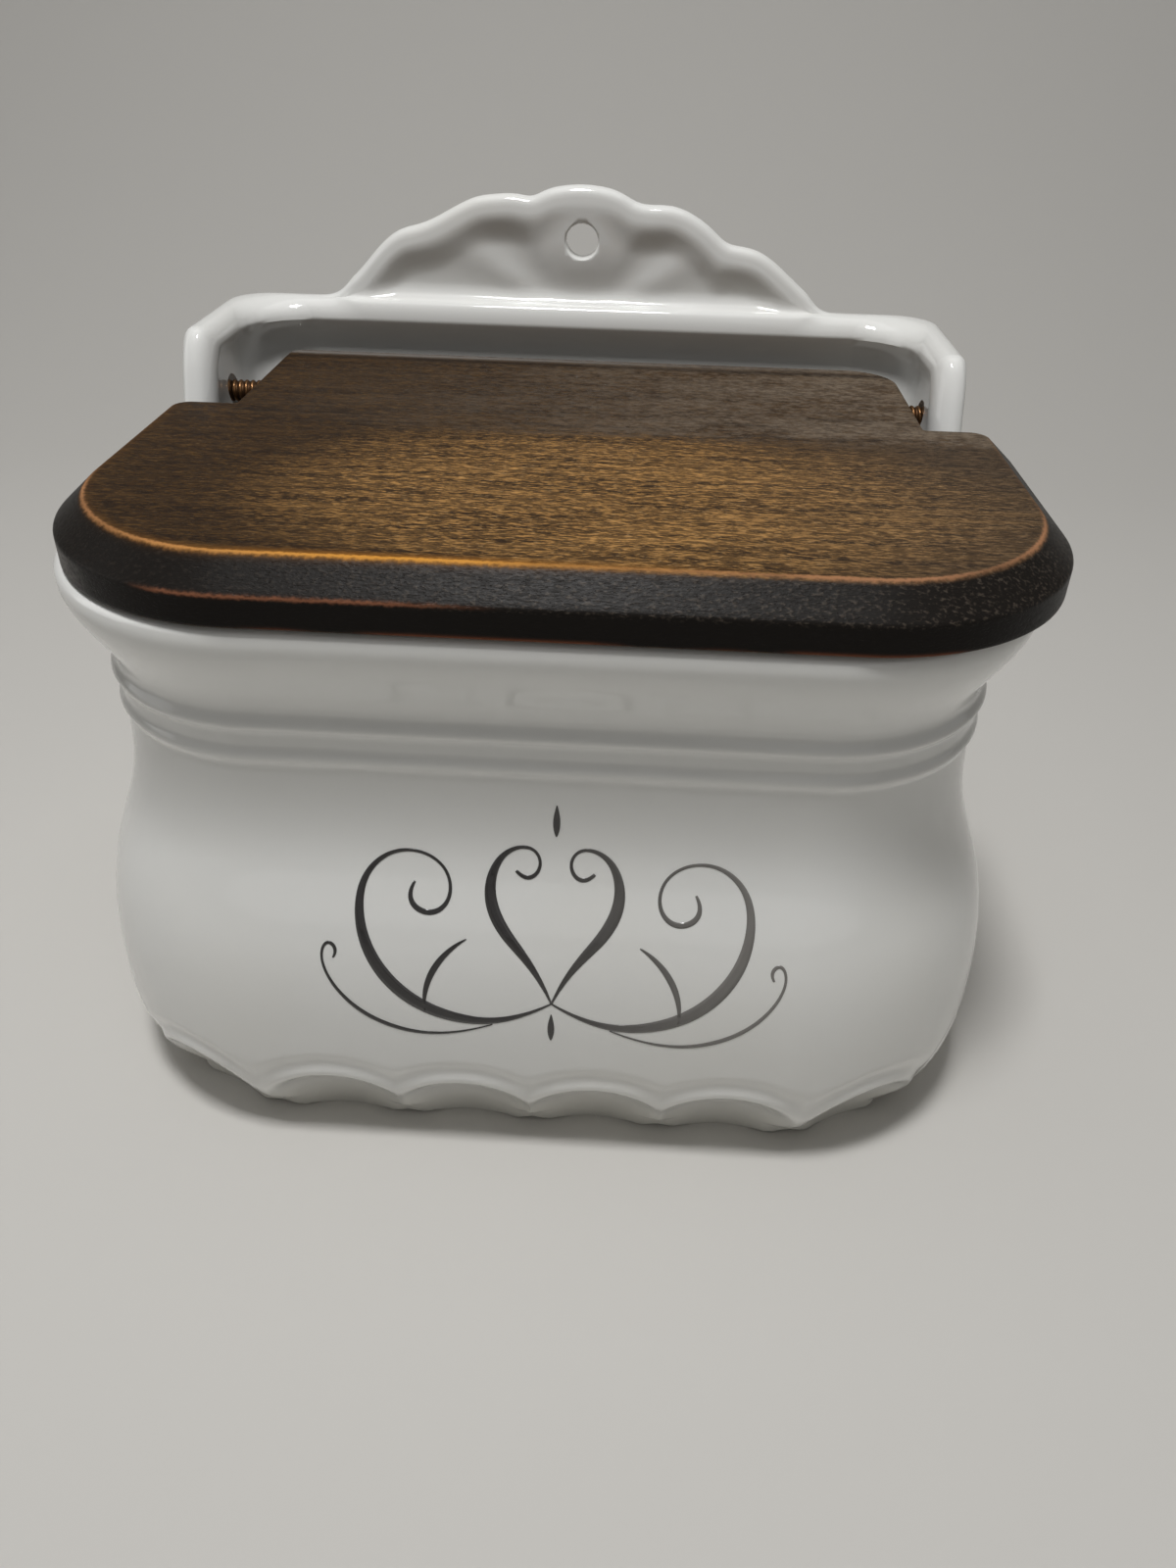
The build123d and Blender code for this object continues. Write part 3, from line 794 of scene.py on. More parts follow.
def add_hood(shape, cheek_inner, hood_front):
    """The rings between the rim's outer and inner lip, which rise into the hood and the crest."""
    s = shape.sizes
    flat_start = s.rim_inset + s.rim_round
    flat_end = s.rim_inset + s.rim_thickness - s.rim_round
    ledge_steps, root_steps, face_steps, top_steps = 2, 4, 9, 11
    crest_face_steps, cove_steps, roll_steps, inner_steps = 24, 5, 9, 9
    total = ledge_steps + root_steps + face_steps + top_steps + crest_face_steps + roll_steps + inner_steps
    root, cove = 2.0 * MM, 1.2 * MM
    split = crest_thickness / s.hood_back
    ledge = s.hood_back - crest_thickness - cove
    done = 0

    def add(width, back, corner, rise, relief=0.0):
        nonlocal done
        done += 1
        inset = flat_start + (flat_end - flat_start) * done / total
        shape.ring(inset, s.rim_height, (width, back, corner), rise, relief=relief)

    def add_at(share_in, rise, relief=0.0):
        """A ring part of the way through the hood's wall, from its outer face at 0 to its inner face at 1."""
        add(
            s.cheek_outer - s.cheek_thickness * share_in, back_y - s.hood_back * share_in,
            (6 + 6 * share_in) * MM, rise, relief,
        )

    start = half_width - flat_start
    for t in steps(0, 1, ledge_steps):
        add(start + (s.cheek_outer + root - start) * t, back_y, (2 + 4 * t) * MM, 0.0)
    crest_rise = shape.rise(s.crest_round, True)
    face_rise = np.where(shape.is_crest, crest_rise, shape.rise(s.hood_round))
    room = np.clip(face_rise / (5 * MM), 0, 1)
    for turn in steps(0, 90, root_steps):
        angle = math.radians(turn)
        add(
            s.cheek_outer + root * (1 - math.sin(angle)), back_y, 6 * MM, root * (1 - math.cos(angle)) * room,
        )
    for t in steps(0, 1, face_steps):
        add_at(0, root * room + (face_rise - root * room) * t)

    border = crest_relief(shape.column_x, s.rim_height + crest_rise, shape.crest_top, shape.steep)
    for t in steps(0, 1, top_steps):
        across = 0.5 * (1 - math.cos(math.pi * t))
        deep = crest_thickness * across
        edge = max(edge_drop(deep, s.crest_round), edge_drop(crest_thickness - deep, s.crest_round))
        plain = shape.rise(cheek_edge(s, split * across))
        rise = plain + (shape.rise(edge, True) - plain) * shape.crest_share
        add_at(split * across, rise, border * across * shape.crest_share)

    plain = shape.rise(cheek_edge(s, split))
    start_rise = plain + (crest_rise - plain) * shape.crest_share
    foot_rise = plain + (shape.rise(0.0) - plain) * shape.crest_share
    cove_high = np.minimum(3.2 * MM, 0.5 * (start_rise - foot_rise)) * shape.crest_share

    def add_crest_face(rise, turned):
        relief = crest_relief(shape.column_x, s.rim_height + rise, shape.crest_top, shape.steep)
        add_at(split, rise, (relief + (cove - relief) * turned) * shape.crest_share)

    for t in steps(0, 1, crest_face_steps - cove_steps):
        add_crest_face(start_rise + (foot_rise + cove_high - start_rise) * t, 0.0)
    for turn in steps(0, math.pi / 2, cove_steps):
        add_crest_face(foot_rise + cove_high * (1 - math.sin(turn)), 1 - math.cos(turn))
    for t in steps(0, 1, roll_steps):
        across = math.sin(t * math.pi / 2)
        share_in = split + (1 - split) * across
        drop = cheek_edge(s, share_in)
        back_drop = edge_drop(ledge * (1 - across), ledge) * s.hood_inner_high / ledge
        rise = rise_with(shape, drop + (back_drop - drop) * shape.crest_share)
        add_at(share_in, rise, cove * (1 - across) * shape.crest_share)
    end_rise = shape.rise(s.hood_inner_high)
    for t in steps(0, 1, inner_steps):
        hollow = s.hood_hollow * math.sin(math.pi * t ** 0.7)
        add(cheek_inner + 0.5 * hollow, hood_front + hollow, 12 * MM, end_rise * (1 - t))


def edge_drop(distance, radius):
    """How far a rounded edge lies below the top, at a distance in from the face."""
    if distance >= radius:
        return 0.0
    return radius - math.sqrt(max(radius ** 2 - (radius - distance) ** 2, 0))


def cheek_edge(sizes, share_in):
    """How far a cheek's rounded top lies below its crown, from its outer face at 0 to its inner face at 1."""
    s = sizes
    from_inside = edge_drop(s.cheek_thickness * (1 - share_in), s.hood_inner_wide)
    outer = edge_drop(s.cheek_thickness * share_in, s.hood_round)
    return max(outer, from_inside * s.hood_inner_high / s.hood_inner_wide)


def rise_with(shape, drops):
    """The plain hood's rise for an edge that differs from column to column."""
    levels = np.linspace(drops.min(), drops.max() + 1e-9, 5)
    table = np.array([shape.rise(level) for level in levels])
    place = (drops - levels[0]) / (levels[-1] - levels[0]) * 4
    low = np.clip(place.astype(int), 0, 3)
    part = place - low
    columns = np.arange(len(drops))
    return table[low, columns] * (1 - part) + table[low + 1, columns] * part


def mirrored(right, left):
    """A whole ring from the right half's points and the left half's, which are mirrored about x = 0."""
    return np.vstack([right, left[-2:0:-1] * (-1, 1, 1)])


def column_normals():
    """Which way is out at each column of a whole ring, in plan; nothing at the back."""
    turn = steps(0, math.pi / 2, CORNER_STEPS)
    side = SIDE_STEPS + CHEEK_STEPS + BEHIND_STEPS
    rest = BACK_CORNER_STEPS + OUTER_BACK_STEPS + CREST_STEPS
    x = np.concatenate([
        np.zeros(FRONT_STEPS + 1), np.sin(turn), np.ones(side - 2), [0.6, 0.25], np.zeros(rest),
    ])
    y = np.concatenate([np.full(FRONT_STEPS + 1, -1.0), -np.cos(turn), np.zeros(side + rest)])
    half = np.column_stack([x, y, np.zeros(len(x))])
    return mirrored(half, half)


def pot_mesh(sizes):
    """The pot's whole skin as one closed mesh, with attributes for the foot's scoops."""
    halves = pot_rings(sizes, 1).rings, pot_rings(sizes, -1).rings
    rings = [mirrored(*(np.column_stack(half[:3]) for half in both)) for both in zip(*halves)]
    count, between = len(rings[0]), len(rings) - 2
    # The first and the last ring are single points
    points = np.vstack([rings[0][:1], *rings[1:-1], rings[-1][:1]])
    faces = ring_faces(between, count, 1)
    last = 1 + (between - 1) * count
    for here in range(count):
        after = (here + 1) % count
        faces += [(0, 1 + after, 1 + here), (last + here, last + after, len(points) - 1)]
    pot = mesh_object("porcelain_pot", points, faces)
    walls = np.repeat([0.0, *(ring[3] for ring in halves[0][1:-1]), 0.0], [1] + [count] * between + [1])
    outward = np.vstack([np.zeros((1, 3)), np.tile(column_normals(), (between, 1)), np.zeros((1, 3))])
    for name, kind, key, values in (
        ("wall", "FLOAT", "value", walls), ("outward", "FLOAT_VECTOR", "vector", outward),
    ):
        attribute = pot.data.attributes.new(name, kind, "POINT")
        attribute.data.foreach_set(key, values.astype(np.float32).ravel())
    return pot


def scoop_centres(sizes):
    """Centres of the scoops in plan, at even steps round the foot."""
    s = sizes
    corner_x, corner_y = half_width - s.corner_radius, front_y + s.corner_radius
    reach = math.sqrt(s.scoop_radius ** 2 - s.scoop_rise ** 2) - s.foot_inset - s.scoop_bite
    foot_radius = s.corner_radius - s.foot_inset
    foot_turn = foot_radius * math.pi / 2
    total = corner_x + foot_turn + back_y - corner_y
    centres = []
    for number in range(int(total / s.scoop_pitch)):
        along = s.scoop_pitch * (number + 0.5)
        if along <= corner_x:
            x, y = along, front_y - reach
        elif along <= corner_x + foot_turn:
            angle = (along - corner_x) / foot_radius
            x = corner_x + (s.corner_radius + reach) * math.sin(angle)
            y = corner_y - (s.corner_radius + reach) * math.cos(angle)
        else:
            x, y = half_width + reach, corner_y + along - corner_x - foot_turn
        centres += [(x, y, 0), (-x, y, 0)]
    return centres


def new_tree(name, sockets):
    """An empty geometry tree with its group input and the named inputs of each kind."""
    tree = bpy.data.node_groups.new(name, "GeometryNodeTree")
    for way in ("INPUT", "OUTPUT"):
        tree.interface.new_socket("Geometry", in_out=way, socket_type="NodeSocketGeometry")
    for kind, labels in sockets.items():
        for label in labels:
            tree.interface.new_socket(label, in_out="INPUT", socket_type=f"NodeSocket{kind}")
    wire = Wire(tree)
    return wire, wire.node("NodeGroupInput")


def close_tree(wire, geometry, material):
    """Ends a tree in real, finished geometry."""
    real = wire.node("GeometryNodeRealizeInstances", None, {"Geometry": geometry})
    done = wire.node("GeometryNodeSetMaterial", None, {"Geometry": real, "Material": material})
    wire.tree.links.new(done.socket, wire.tree.nodes.new("NodeGroupOutput").inputs[0])


def add_tree(piece, wire, values):
    """Puts a geometry tree on a piece and sets its inputs."""
    modifier = piece.modifiers.new(wire.tree.name, "NODES")
    modifier.node_group = wire.tree
    for item in wire.tree.interface.items_tree:
        if item.in_out == "INPUT" and item.name in values:
            modifier[item.identifier] = values[item.name]


def scoop_tree():
    """Presses a round scoop into the foot at each centre, with a lip round it and a wavy shoulder above."""
    wire, start = new_tree("foot_scoops", {
        "Object": ["Centres"],
        "Float": [
            "Radius", "Rise", "Softness", "Lip Height", "Lip Width",
            "Shoulder Gap", "Shoulder Step", "Shoulder Width",
        ],
        "Material": ["Material"],
    })
    radius, lip_width, gap = (start.out(name) for name in ("Radius", "Lip Width", "Shoulder Gap"))
    centres = wire.node("GeometryNodeObjectInfo", None, {"Object": start.out("Centres")}, "Geometry")
    x, y, z = wire.node("GeometryNodeInputPosition").axes()
    away = wire.node(
        "GeometryNodeProximity", {"target_element": "POINTS"},
        {0: centres, "Sample Position": wire.vector(x, y)}, "Distance",
    )
    lift = z - start.out("Rise")
    depth = (radius * radius - lift * lift).most(0.0) ** 0.5 - away
    cut = wire.maths("SMOOTH_MAX", depth, 0.0, start.out("Softness"))
    outside = (away * away + lift * lift) ** 0.5 - radius
    lip = (outside - lip_width).bell(lip_width) * start.out("Lip Height")
    sunk = (1 - outside.step(gap - start.out("Shoulder Width"), gap)) * start.out("Shoulder Step")
    wall, outward = (
        wire.node("GeometryNodeInputNamedAttribute", {"data_type": kind}, {"Name": name})
        for name, kind in (("wall", "FLOAT"), ("outward", "FLOAT_VECTOR"))
    )
    move = wire.node(
        "ShaderNodeVectorMath", {"operation": "SCALE"}, {0: outward, "Scale": (lip - sunk - cut) * wall}
    )
    pressed = wire.node("GeometryNodeSetPosition", None, {"Geometry": start, "Offset": move})
    close_tree(wire, pressed, start.out("Material"))
    return wire


def lathe(name, profile, segments, place, axis):
    """A closed body of revolution: profile is (distance along the axis, radius) from end to end."""
    matrix = Matrix.Translation(place) @ axis.to_track_quat("Z", "Y").to_matrix().to_4x4()
    points = [matrix @ Vector((0, 0, profile[end][0])) for end in (0, -1)]
    for along, radius in profile:
        for number in range(segments):
            angle = 2 * math.pi * number / segments
            points.append(matrix @ Vector((radius * math.cos(angle), radius * math.sin(angle), along)))
    faces = ring_faces(len(profile), segments, 2)
    last = 2 + (len(profile) - 1) * segments
    for here in range(segments):
        after = (here + 1) % segments
        faces += [(0, 2 + after, 2 + here), (1, last + here, last + after)]
    return mesh_object(name, points, faces)


def cut_with(piece, profile, segments, place, axis):
    """Cuts a body of revolution out of a piece."""
    cutter = lathe("cutter", profile, segments, place, Vector(axis))
    modifier = piece.modifiers.new("hole", "BOOLEAN")
    modifier.operation, modifier.solver, modifier.object = "DIFFERENCE", "EXACT", cutter
    freeze(piece)
    bpy.data.objects.remove(cutter)


def cut_hole(piece, place, axis, radius, thickness):
    """Cuts a hole whose mouths flare a little through a wall whose middle is at place."""
    half = thickness / 2
    mouth = [
        (half + out * MOUTH_FLARE, radius + wide * MOUTH_FLARE)
        for out, wide in ((-1, 0), (-0.5, 0.15), (0, 0.55), (1, 1.7))
    ]
    mouth.append((half + 4 * MM, mouth[-1][1]))
    cut_with(piece, [(-along, wide) for along, wide in mouth[::-1]] + mouth, HOLE_SIDES, place, axis)


def lid_outline(lid, bevel, other):
    """The lid's outline seen from above, drawn in by bevel at the front and sides and other behind."""
    right = half_lid_outline(lid, bevel, other, lid.tongue_right)
    left = half_lid_outline(lid, bevel, other, lid.tongue_left)
    return [(lid_middle + x, y) for x, y in right] + [(lid_middle - x, y) for x, y in left[-2:0:-1]]


def quarter_turn(x, y, reach_x, reach_y, count, x_first=True):
    """Points round a corner at (x, y), from reach_x beside it to reach_y, or from reach_y to reach_x."""
    points = []
    for turn in steps(0, math.pi / 2, count):
        falling, rising = 1 - math.sin(turn), 1 - math.cos(turn)
        along_x, along_y = (falling, rising) if x_first else (rising, falling)
        points.append((x + reach_x * along_x, y + reach_y * along_y))
    return points


def half_lid_outline(lid, bevel, other, tongue_corner):
    """Half of the lid's outline, from the front's middle to the tongue's."""
    half, front, radius = (lid_high.x - lid_low.x) / 2 - bevel, lid_low.y + bevel, lid.corner - bevel
    shoulder, tongue, end = lid.shoulder - other, lid.tongue_half - other, lid_high.y - other
    small, notch, back_radius = lid.shoulder_corner, 0.8 * MM, max(tongue_corner - other, 0.2 * MM)
    return [
        *((x, front) for x in np.linspace(0, half - radius, 24)),
        *quarter_turn(half, front, -radius, radius, 30),
        *((half, y) for y in steps(front + radius, shoulder - small, 12)),
        *quarter_turn(half, shoulder, -small, -small, 8, False),
        *((x, shoulder) for x in steps(half - small, tongue + notch, 5)),
        *quarter_turn(tongue, shoulder, notch, notch, 4),
        *((tongue, y) for y in steps(shoulder + notch, end - back_radius, 12)),
        *quarter_turn(tongue, end, -back_radius, -back_radius, 10, False),
        *((x, end) for x in steps(tongue - back_radius, 0, 24)),
    ]


def lid_mesh(lid):
    """The lid as rings from its underside, up its bevel, to its top."""
    # Each ring: how far in at the front and sides, how far in behind, and its height
    worn = lid.worn_edge
    low, high = lid_low.z, lid_high.z
    bevel_low = high - lid.bevel_down
    slope = math.atan2(lid.bevel_down, lid.bevel_out)
    crown = 0.9 * MM
    rings = [(3 * MM, 3 * MM, low), (worn * 1.2, worn * 1.2, low)]
    for turn in np.linspace(0, math.pi / 2, 4):
        inset = worn * (1 - math.sin(turn))
        rings.append((inset, inset, low + worn * (1 - math.cos(turn))))
    rings += [(0, 0, z) for z in np.linspace(low + worn + 0.6 * MM, bevel_low - worn - 0.2 * MM, 4)]
    for turn in np.linspace(0, 1, 5) * (math.pi / 2 - slope):
        rings.append((crown * (1 - math.cos(turn)), 0, bevel_low - 0.35 * MM + crown * math.sin(turn)))
    start_in, _, start_z = rings[-1]
    shift = crown * math.tan(slope / 2)
    end_in, end_z = lid.bevel_out - shift * math.cos(slope), high - shift * math.sin(slope)
    for t in steps(0, 1, 7)[:-1]:
        rings.append((start_in + (end_in - start_in) * t, 0, start_z + (end_z - start_z) * t))
    for t in np.linspace(0, 1, 6):
        turn = slope * (1 - t)
        rings.append((
            lid.bevel_out + shift - crown * math.sin(turn), worn * 1.6 * (1 - math.cos(t * math.pi / 2)),
            high - crown * (1 - math.cos(turn)),
        ))
    rings += [(lid.bevel_out + 1.6 * MM, worn * 1.6 + 0.5 * MM, high), (lid.bevel_out + 4 * MM, 4 * MM, high)]
    points = [(x, y, z) for bevel, other, z in rings for x, y in lid_outline(lid, bevel, other)]
    count = len(points) // len(rings)
    underside, top = range(count)[::-1], range(len(points) - count, len(points))
    return mesh_object("wooden_lid", points, [underside, *ring_faces(len(rings), count), top])


def pin_tree():
    """A threaded pin with a pointed and a slotted end, along X from its place."""
    wire, start = new_tree("threaded_pin", {
        "Float": ["Length", "Radius", "Thread Depth", "Pitch", "Slot Width", "Slot Depth", "Side"],
        "Vector": ["Place"],
        "Material": ["Material"],
    })
    end, radius, side = (start.out(name) for name in ("Length", "Radius", "Side"))
    span = end * 1.01
    grid = wire.node(
        "GeometryNodeMeshGrid", None,
        {"Size X": span, "Size Y": 2 * math.pi, "Vertices X": 261, "Vertices Y": 33}, "Mesh",
    )
    x, angle, _ = wire.node("GeometryNodeInputPosition").axes()
    along = x + span / 2.0
    phase = along / start.out("Pitch") - angle / (2 * math.pi)
    wave = abs(wire.maths("FRACT", phase) * 2.0 - 1.0)
    threaded = radius - wave.step(0.12, 0.9) * start.out("Thread Depth")
    chamfer = (end - along) + radius * 0.8
    within = wire.maths("LESS_THAN", along, end * 0.9995)
    out = threaded.least(along * 0.9).least(chamfer) * within
    turned = wire.vector(
        along.least(end) * side, out * wire.maths("COSINE", angle) * side, out * wire.maths("SINE", angle)
    )
    rod = wire.node("GeometryNodeSetPosition", None, {"Geometry": grid, "Position": turned})
    rod = wire.node("GeometryNodeMergeByDistance", None, {"Geometry": rod, "Distance": 0.002 * MM})
    slot_size = wire.vector(start.out("Slot Depth") * 2.0, start.out("Slot Width"), radius * 3.0)
    slot = wire.node("GeometryNodeMeshCube", None, {"Size": slot_size}, "Mesh")
    slot = wire.node("GeometryNodeTransform", None, {"Geometry": slot, "Translation": wire.vector(end * side)})
    cut = wire.node(
        "GeometryNodeMeshBoolean", {"operation": "DIFFERENCE", "solver": "EXACT"},
        {"Mesh 1": rod, "Mesh 2": slot}, "Mesh",
    )
    placed = wire.node("GeometryNodeTransform", None, {"Geometry": cut, "Translation": start.out("Place")})
    close_tree(wire, placed, start.out("Material"))
    return wire


class SALTPOT_OT_pot(bpy.types.Operator):
    """Make the porcelain pot"""

    bl_idname = "saltpot.pot"
    bl_label = "Porcelain pot"

    def execute(self, context):
        s = context.scene.saltpot_sizes
        pot = pot_mesh(s)
        centres = mesh_object("scoop_centres", scoop_centres(s), [])
        material = glaze_material(context.scene.saltpot_looks)
        add_tree(pot, scoop_tree(), {
            "Centres": centres, "Radius": s.scoop_radius, "Rise": s.scoop_rise, "Softness": s.scoop_softness,
            "Lip Height": s.lip_height, "Lip Width": s.lip_width, "Shoulder Gap": s.shoulder_gap,
            "Shoulder Step": s.shoulder_step, "Shoulder Width": s.shoulder_width, "Material": material,
        })
        freeze(pot)
        bpy.data.objects.remove(centres)
        turn_outside(pot)
        cut_hole(pot, hanging_hole, (0, 1, 0), hanging_hole_radius, crest_thickness)
        for side in (-1, 1):
            place = Vector((side * (s.cheek_outer - s.cheek_thickness / 2), hinge.y, hinge.z))
            cut_hole(pot, place, (1, 0, 0), CHEEK_HOLE_RADIUS, s.cheek_thickness)
        pot.data.set_sharp_from_angle(angle=math.radians(50))
        set_finish(pot, material)
        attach(pot, "pot")
        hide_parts("pot")
        return {"FINISHED"}


class SALTPOT_OT_lid(bpy.types.Operator):
    """Make the wooden lid"""

    bl_idname = "saltpot.lid"
    bl_label = "Wooden lid"

    def execute(self, context):
        sizes = context.scene.saltpot_lid
        lid = lid_mesh(sizes)
        turn_outside(lid)
        for low, high in pin_boxes.values():
            half, radius = (high.x - low.x) / 2 + 0.5 * MM, (high.z - low.z) / 2 + 0.05 * MM
            middle = Vector(((low.x + high.x) / 2, hinge.y, hinge.z))
            cut_with(lid, [(-half, radius), (half, radius)], BORE_SIDES, middle, (1, 0, 0))
        lid.data.set_sharp_from_angle(angle=math.radians(40))
        set_finish(lid, wood_material(context.scene.saltpot_looks, sizes))
        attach(lid, "lid")
        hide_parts("lid")
        return {"FINISHED"}


class SALTPOT_OT_pins(bpy.types.Operator):
    """Make the two threaded hinge pins"""

    bl_idname = "saltpot.pins"
    bl_label = "Hinge pins"

    def execute(self, context):
        s = context.scene.saltpot_pin
        material = brass_material(context.scene.saltpot_looks)
        tree = pin_tree()
        for side, (low, high) in pin_boxes.items():
            inner, sign = (low.x, 1.0) if side == "right" else (high.x, -1.0)
            pin = mesh_object(f"threaded_pin_{side}", [], [])
            add_tree(pin, tree, {
                "Length": high.x - low.x, "Radius": (high.z - low.z) / 2, "Thread Depth": s.depth,
                "Pitch": s.pitch, "Slot Width": s.slot_width, "Slot Depth": s.slot_depth,
                "Place": (inner, hinge.y, hinge.z), "Side": sign, "Material": material,
            })
            freeze(pin)
            turn_outside(pin)
            pin.data.set_sharp_from_angle(angle=math.radians(45))
            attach(pin, "lid")
            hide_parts(f"hinge_pin_{side}")
        return {"FINISHED"}


# Half of the flourish: each stroke's points as x, height and half width in millimetres, mirrored about x = 0
FLOURISH_STROKES = {
    "scroll": [
        (0, -12, 0.15), (7, -16.5, 0.45), (16, -17, 1.05), (26, -12, 1.25), (32.5, -2, 0.95), (32.5, 9, 0.5),
        (25, 14.5, 0.25), (17.5, 11.5, 0.22), (16.5, 5, 0.3), (21, 1.8, 0.5), (24.8, 5, 0.45), (23, 8, 0.2),
    ],
    "lyre": [
        (0, -12, 0.15), (2.5, -5.5, 0.5), (8.5, 0, 1.1), (11.5, 7, 1.0), (9, 14, 0.4), (3.5, 15.5, 0.22),
        (1.6, 11, 0.25), (4.6, 8.6, 0.4), (6.4, 10.6, 0.25),
    ],
    "tendril": [
        (10, -17, 0.1), (18, -20.5, 0.22), (28, -19.5, 0.5), (36, -13, 0.3), (39.5, -5.5, 0.2),
        (37.6, -1.5, 0.25), (35.8, -4, 0.35), (36.8, -5.4, 0.15),
    ],
    "leaf": [(21.5, -14.8, 0.1), (22, -9.5, 0.6), (19.6, -4, 0.75), (14.4, -1, 0.1)],
    "upper_drop": [(0, 16.8, 0.1), (0, 18.6, 0.85), (0, 20.4, 0.6), (0, 22.5, 0.08)],
    "lower_drop": [(0, -14.2, 0.08), (0, -16.2, 0.6), (0, -18, 0.85), (0, -19.8, 0.1)],
}
FLOURISH_X, FLOURISH_Z = 4 * MM, 50 * MM
PAINT_LIFT, PAINT_THICKNESS = 0.05 * MM, 0.06 * MM


def flourish_curves():
    """The flourish's strokes as flat curves in the XY plane, X across and Y up."""
    data = bpy.data.curves.new("flourish_strokes", "CURVE")
    data.dimensions = "3D"
    data.twist_mode = "Z_UP"
    for stroke in FLOURISH_STROKES.values():
        on_middle = all(point[0] == 0 for point in stroke)
        for side in (-1,) if on_middle else (-1, 1):
            line = data.splines.new("NURBS")
            line.points.add(len(stroke) - 1)
            for point, (x, up, half) in zip(line.points, stroke):
                point.co = (FLOURISH_X + side * x * MM, FLOURISH_Z + up * MM, 0, 1)
                point.radius = half * MM
            line.order_u = 4
            line.use_endpoint_u = True
            line.resolution_u = 14
    made = bpy.data.objects.new("flourish_strokes", data)
    bpy.context.scene.collection.objects.link(made)
    return made


def flourish_tree():
    """Lays flat strokes of varying width on the front of a body."""
    wire, start = new_tree("painted_strokes", {
        "Object": ["Strokes", "Body"], "Float": ["Lift", "Far Front"], "Material": ["Material"],
    })
    strokes, body = (
        wire.node("GeometryNodeObjectInfo", None, {"Object": start.out(name)}, "Geometry")
        for name in ("Strokes", "Body")
    )
    brush = wire.node("GeometryNodeCurvePrimitiveLine", None, {"Start": (-1, 0, 0), "End": (1, 0, 0)})
    brush = wire.node("GeometryNodeResampleCurve", None, {"Curve": brush, "Count": 4})
    ribbon = wire.node(
        "GeometryNodeCurveToMesh", None,
        {"Curve": strokes, "Profile Curve": brush, "Scale": wire.node("GeometryNodeInputRadius")},
    )
    x, up, _ = wire.node("GeometryNodeInputPosition").axes()
    hit = wire.node(
        "GeometryNodeRaycast", None,
        {
            "Target Geometry": body, "Source Position": wire.vector(x, start.out("Far Front"), up),
            "Ray Direction": (0, 1, 0), "Ray Length": 1.0,
        },
        "Hit Position",
    )
    lift = wire.vector(0.0, -start.out("Lift"))
    raised = wire.node("ShaderNodeVectorMath", {"operation": "ADD"}, {0: hit, 1: lift})
    laid = wire.node("GeometryNodeSetPosition", None, {"Geometry": ribbon, "Position": raised})
    close_tree(wire, laid, start.out("Material"))
    return wire


class SALTPOT_OT_flourish(bpy.types.Operator):
    """Make the painted flourish on the front"""

    bl_idname = "saltpot.flourish"
    bl_label = "Painted flourish"

    def execute(self, context):
        material = enamel_material(context.scene.saltpot_looks)
        strokes = flourish_curves()
        flourish = mesh_object("front_flourish", [], [])
        add_tree(flourish, flourish_tree(), {
            "Strokes": strokes, "Body": bpy.data.objects["porcelain_pot"], "Lift": PAINT_LIFT,
            "Far Front": front_y - 20 * MM, "Material": material,
        })
        freeze(flourish)
        bpy.data.objects.remove(strokes)
        thick = flourish.modifiers.new("paint", "SOLIDIFY")
        thick.thickness, thick.offset = PAINT_THICKNESS, 0
        freeze(flourish)
        turn_outside(flourish)
        set_finish(flourish, material)
        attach(flourish, "pot")
        return {"FINISHED"}


# The paper sweep in metres: half its width, its near and far ends, its height and the radius of its bend
SWEEP_HALF, SWEEP_NEAR, SWEEP_FAR, SWEEP_TALL, SWEEP_BEND = 2.4, -2.2, 0.75, 2.0, 0.45
# The lamps: name, place and size in metres, and power in watts
LAMPS = (
    ("key", (-0.05, -0.19, 0.87), 0.14, 4.6),
    ("ceiling", (0, -0.2, 2.3), 2.0, 9.0),
    ("front_fill", (0.40, -0.85, 0.45), 0.60, 0.3),
    ("side", (-0.75, -0.10, 0.30), 0.45, 0.4),
)
LAMP_TARGET = Vector((0, 0, 60 * MM))
# How bright the room is as light, and how much brighter cameras and mirrors see it
ROOM_LIGHT, ROOM_SEEN = 0.06, 0.44
# The camera: its place, its yaw, pitch and roll in radians, its sensor's width and its focal length
CAMERA_PLACE = Vector((14.74, -201.21, 178.93)) * MM
CAMERA_TURN = (-0.0400, 0.6016, -0.0275)
CAMERA_SENSOR, CAMERA_LENS = 36, 26.565


def make_sweep(looks):
    """The paper that is floor and backdrop in one."""
    section = [(SWEEP_NEAR, 0.0), (SWEEP_FAR - SWEEP_BEND, 0.0)]
    for turn in steps(0, math.pi / 2, 20):
        y = SWEEP_FAR - SWEEP_BEND + SWEEP_BEND * math.sin(turn)
        section.append((y, SWEEP_BEND * (1 - math.cos(turn))))
    section.append((SWEEP_FAR, SWEEP_TALL))
    points = [(x, y, z) for y, z in section for x in (-SWEEP_HALF, SWEEP_HALF)]
    faces = [(2 * i, 2 * i + 1, 2 * i + 3, 2 * i + 2) for i in range(len(section) - 1)]
    sweep = mesh_object("paper_sweep", points, faces)
    set_finish(sweep, stage_material(looks))


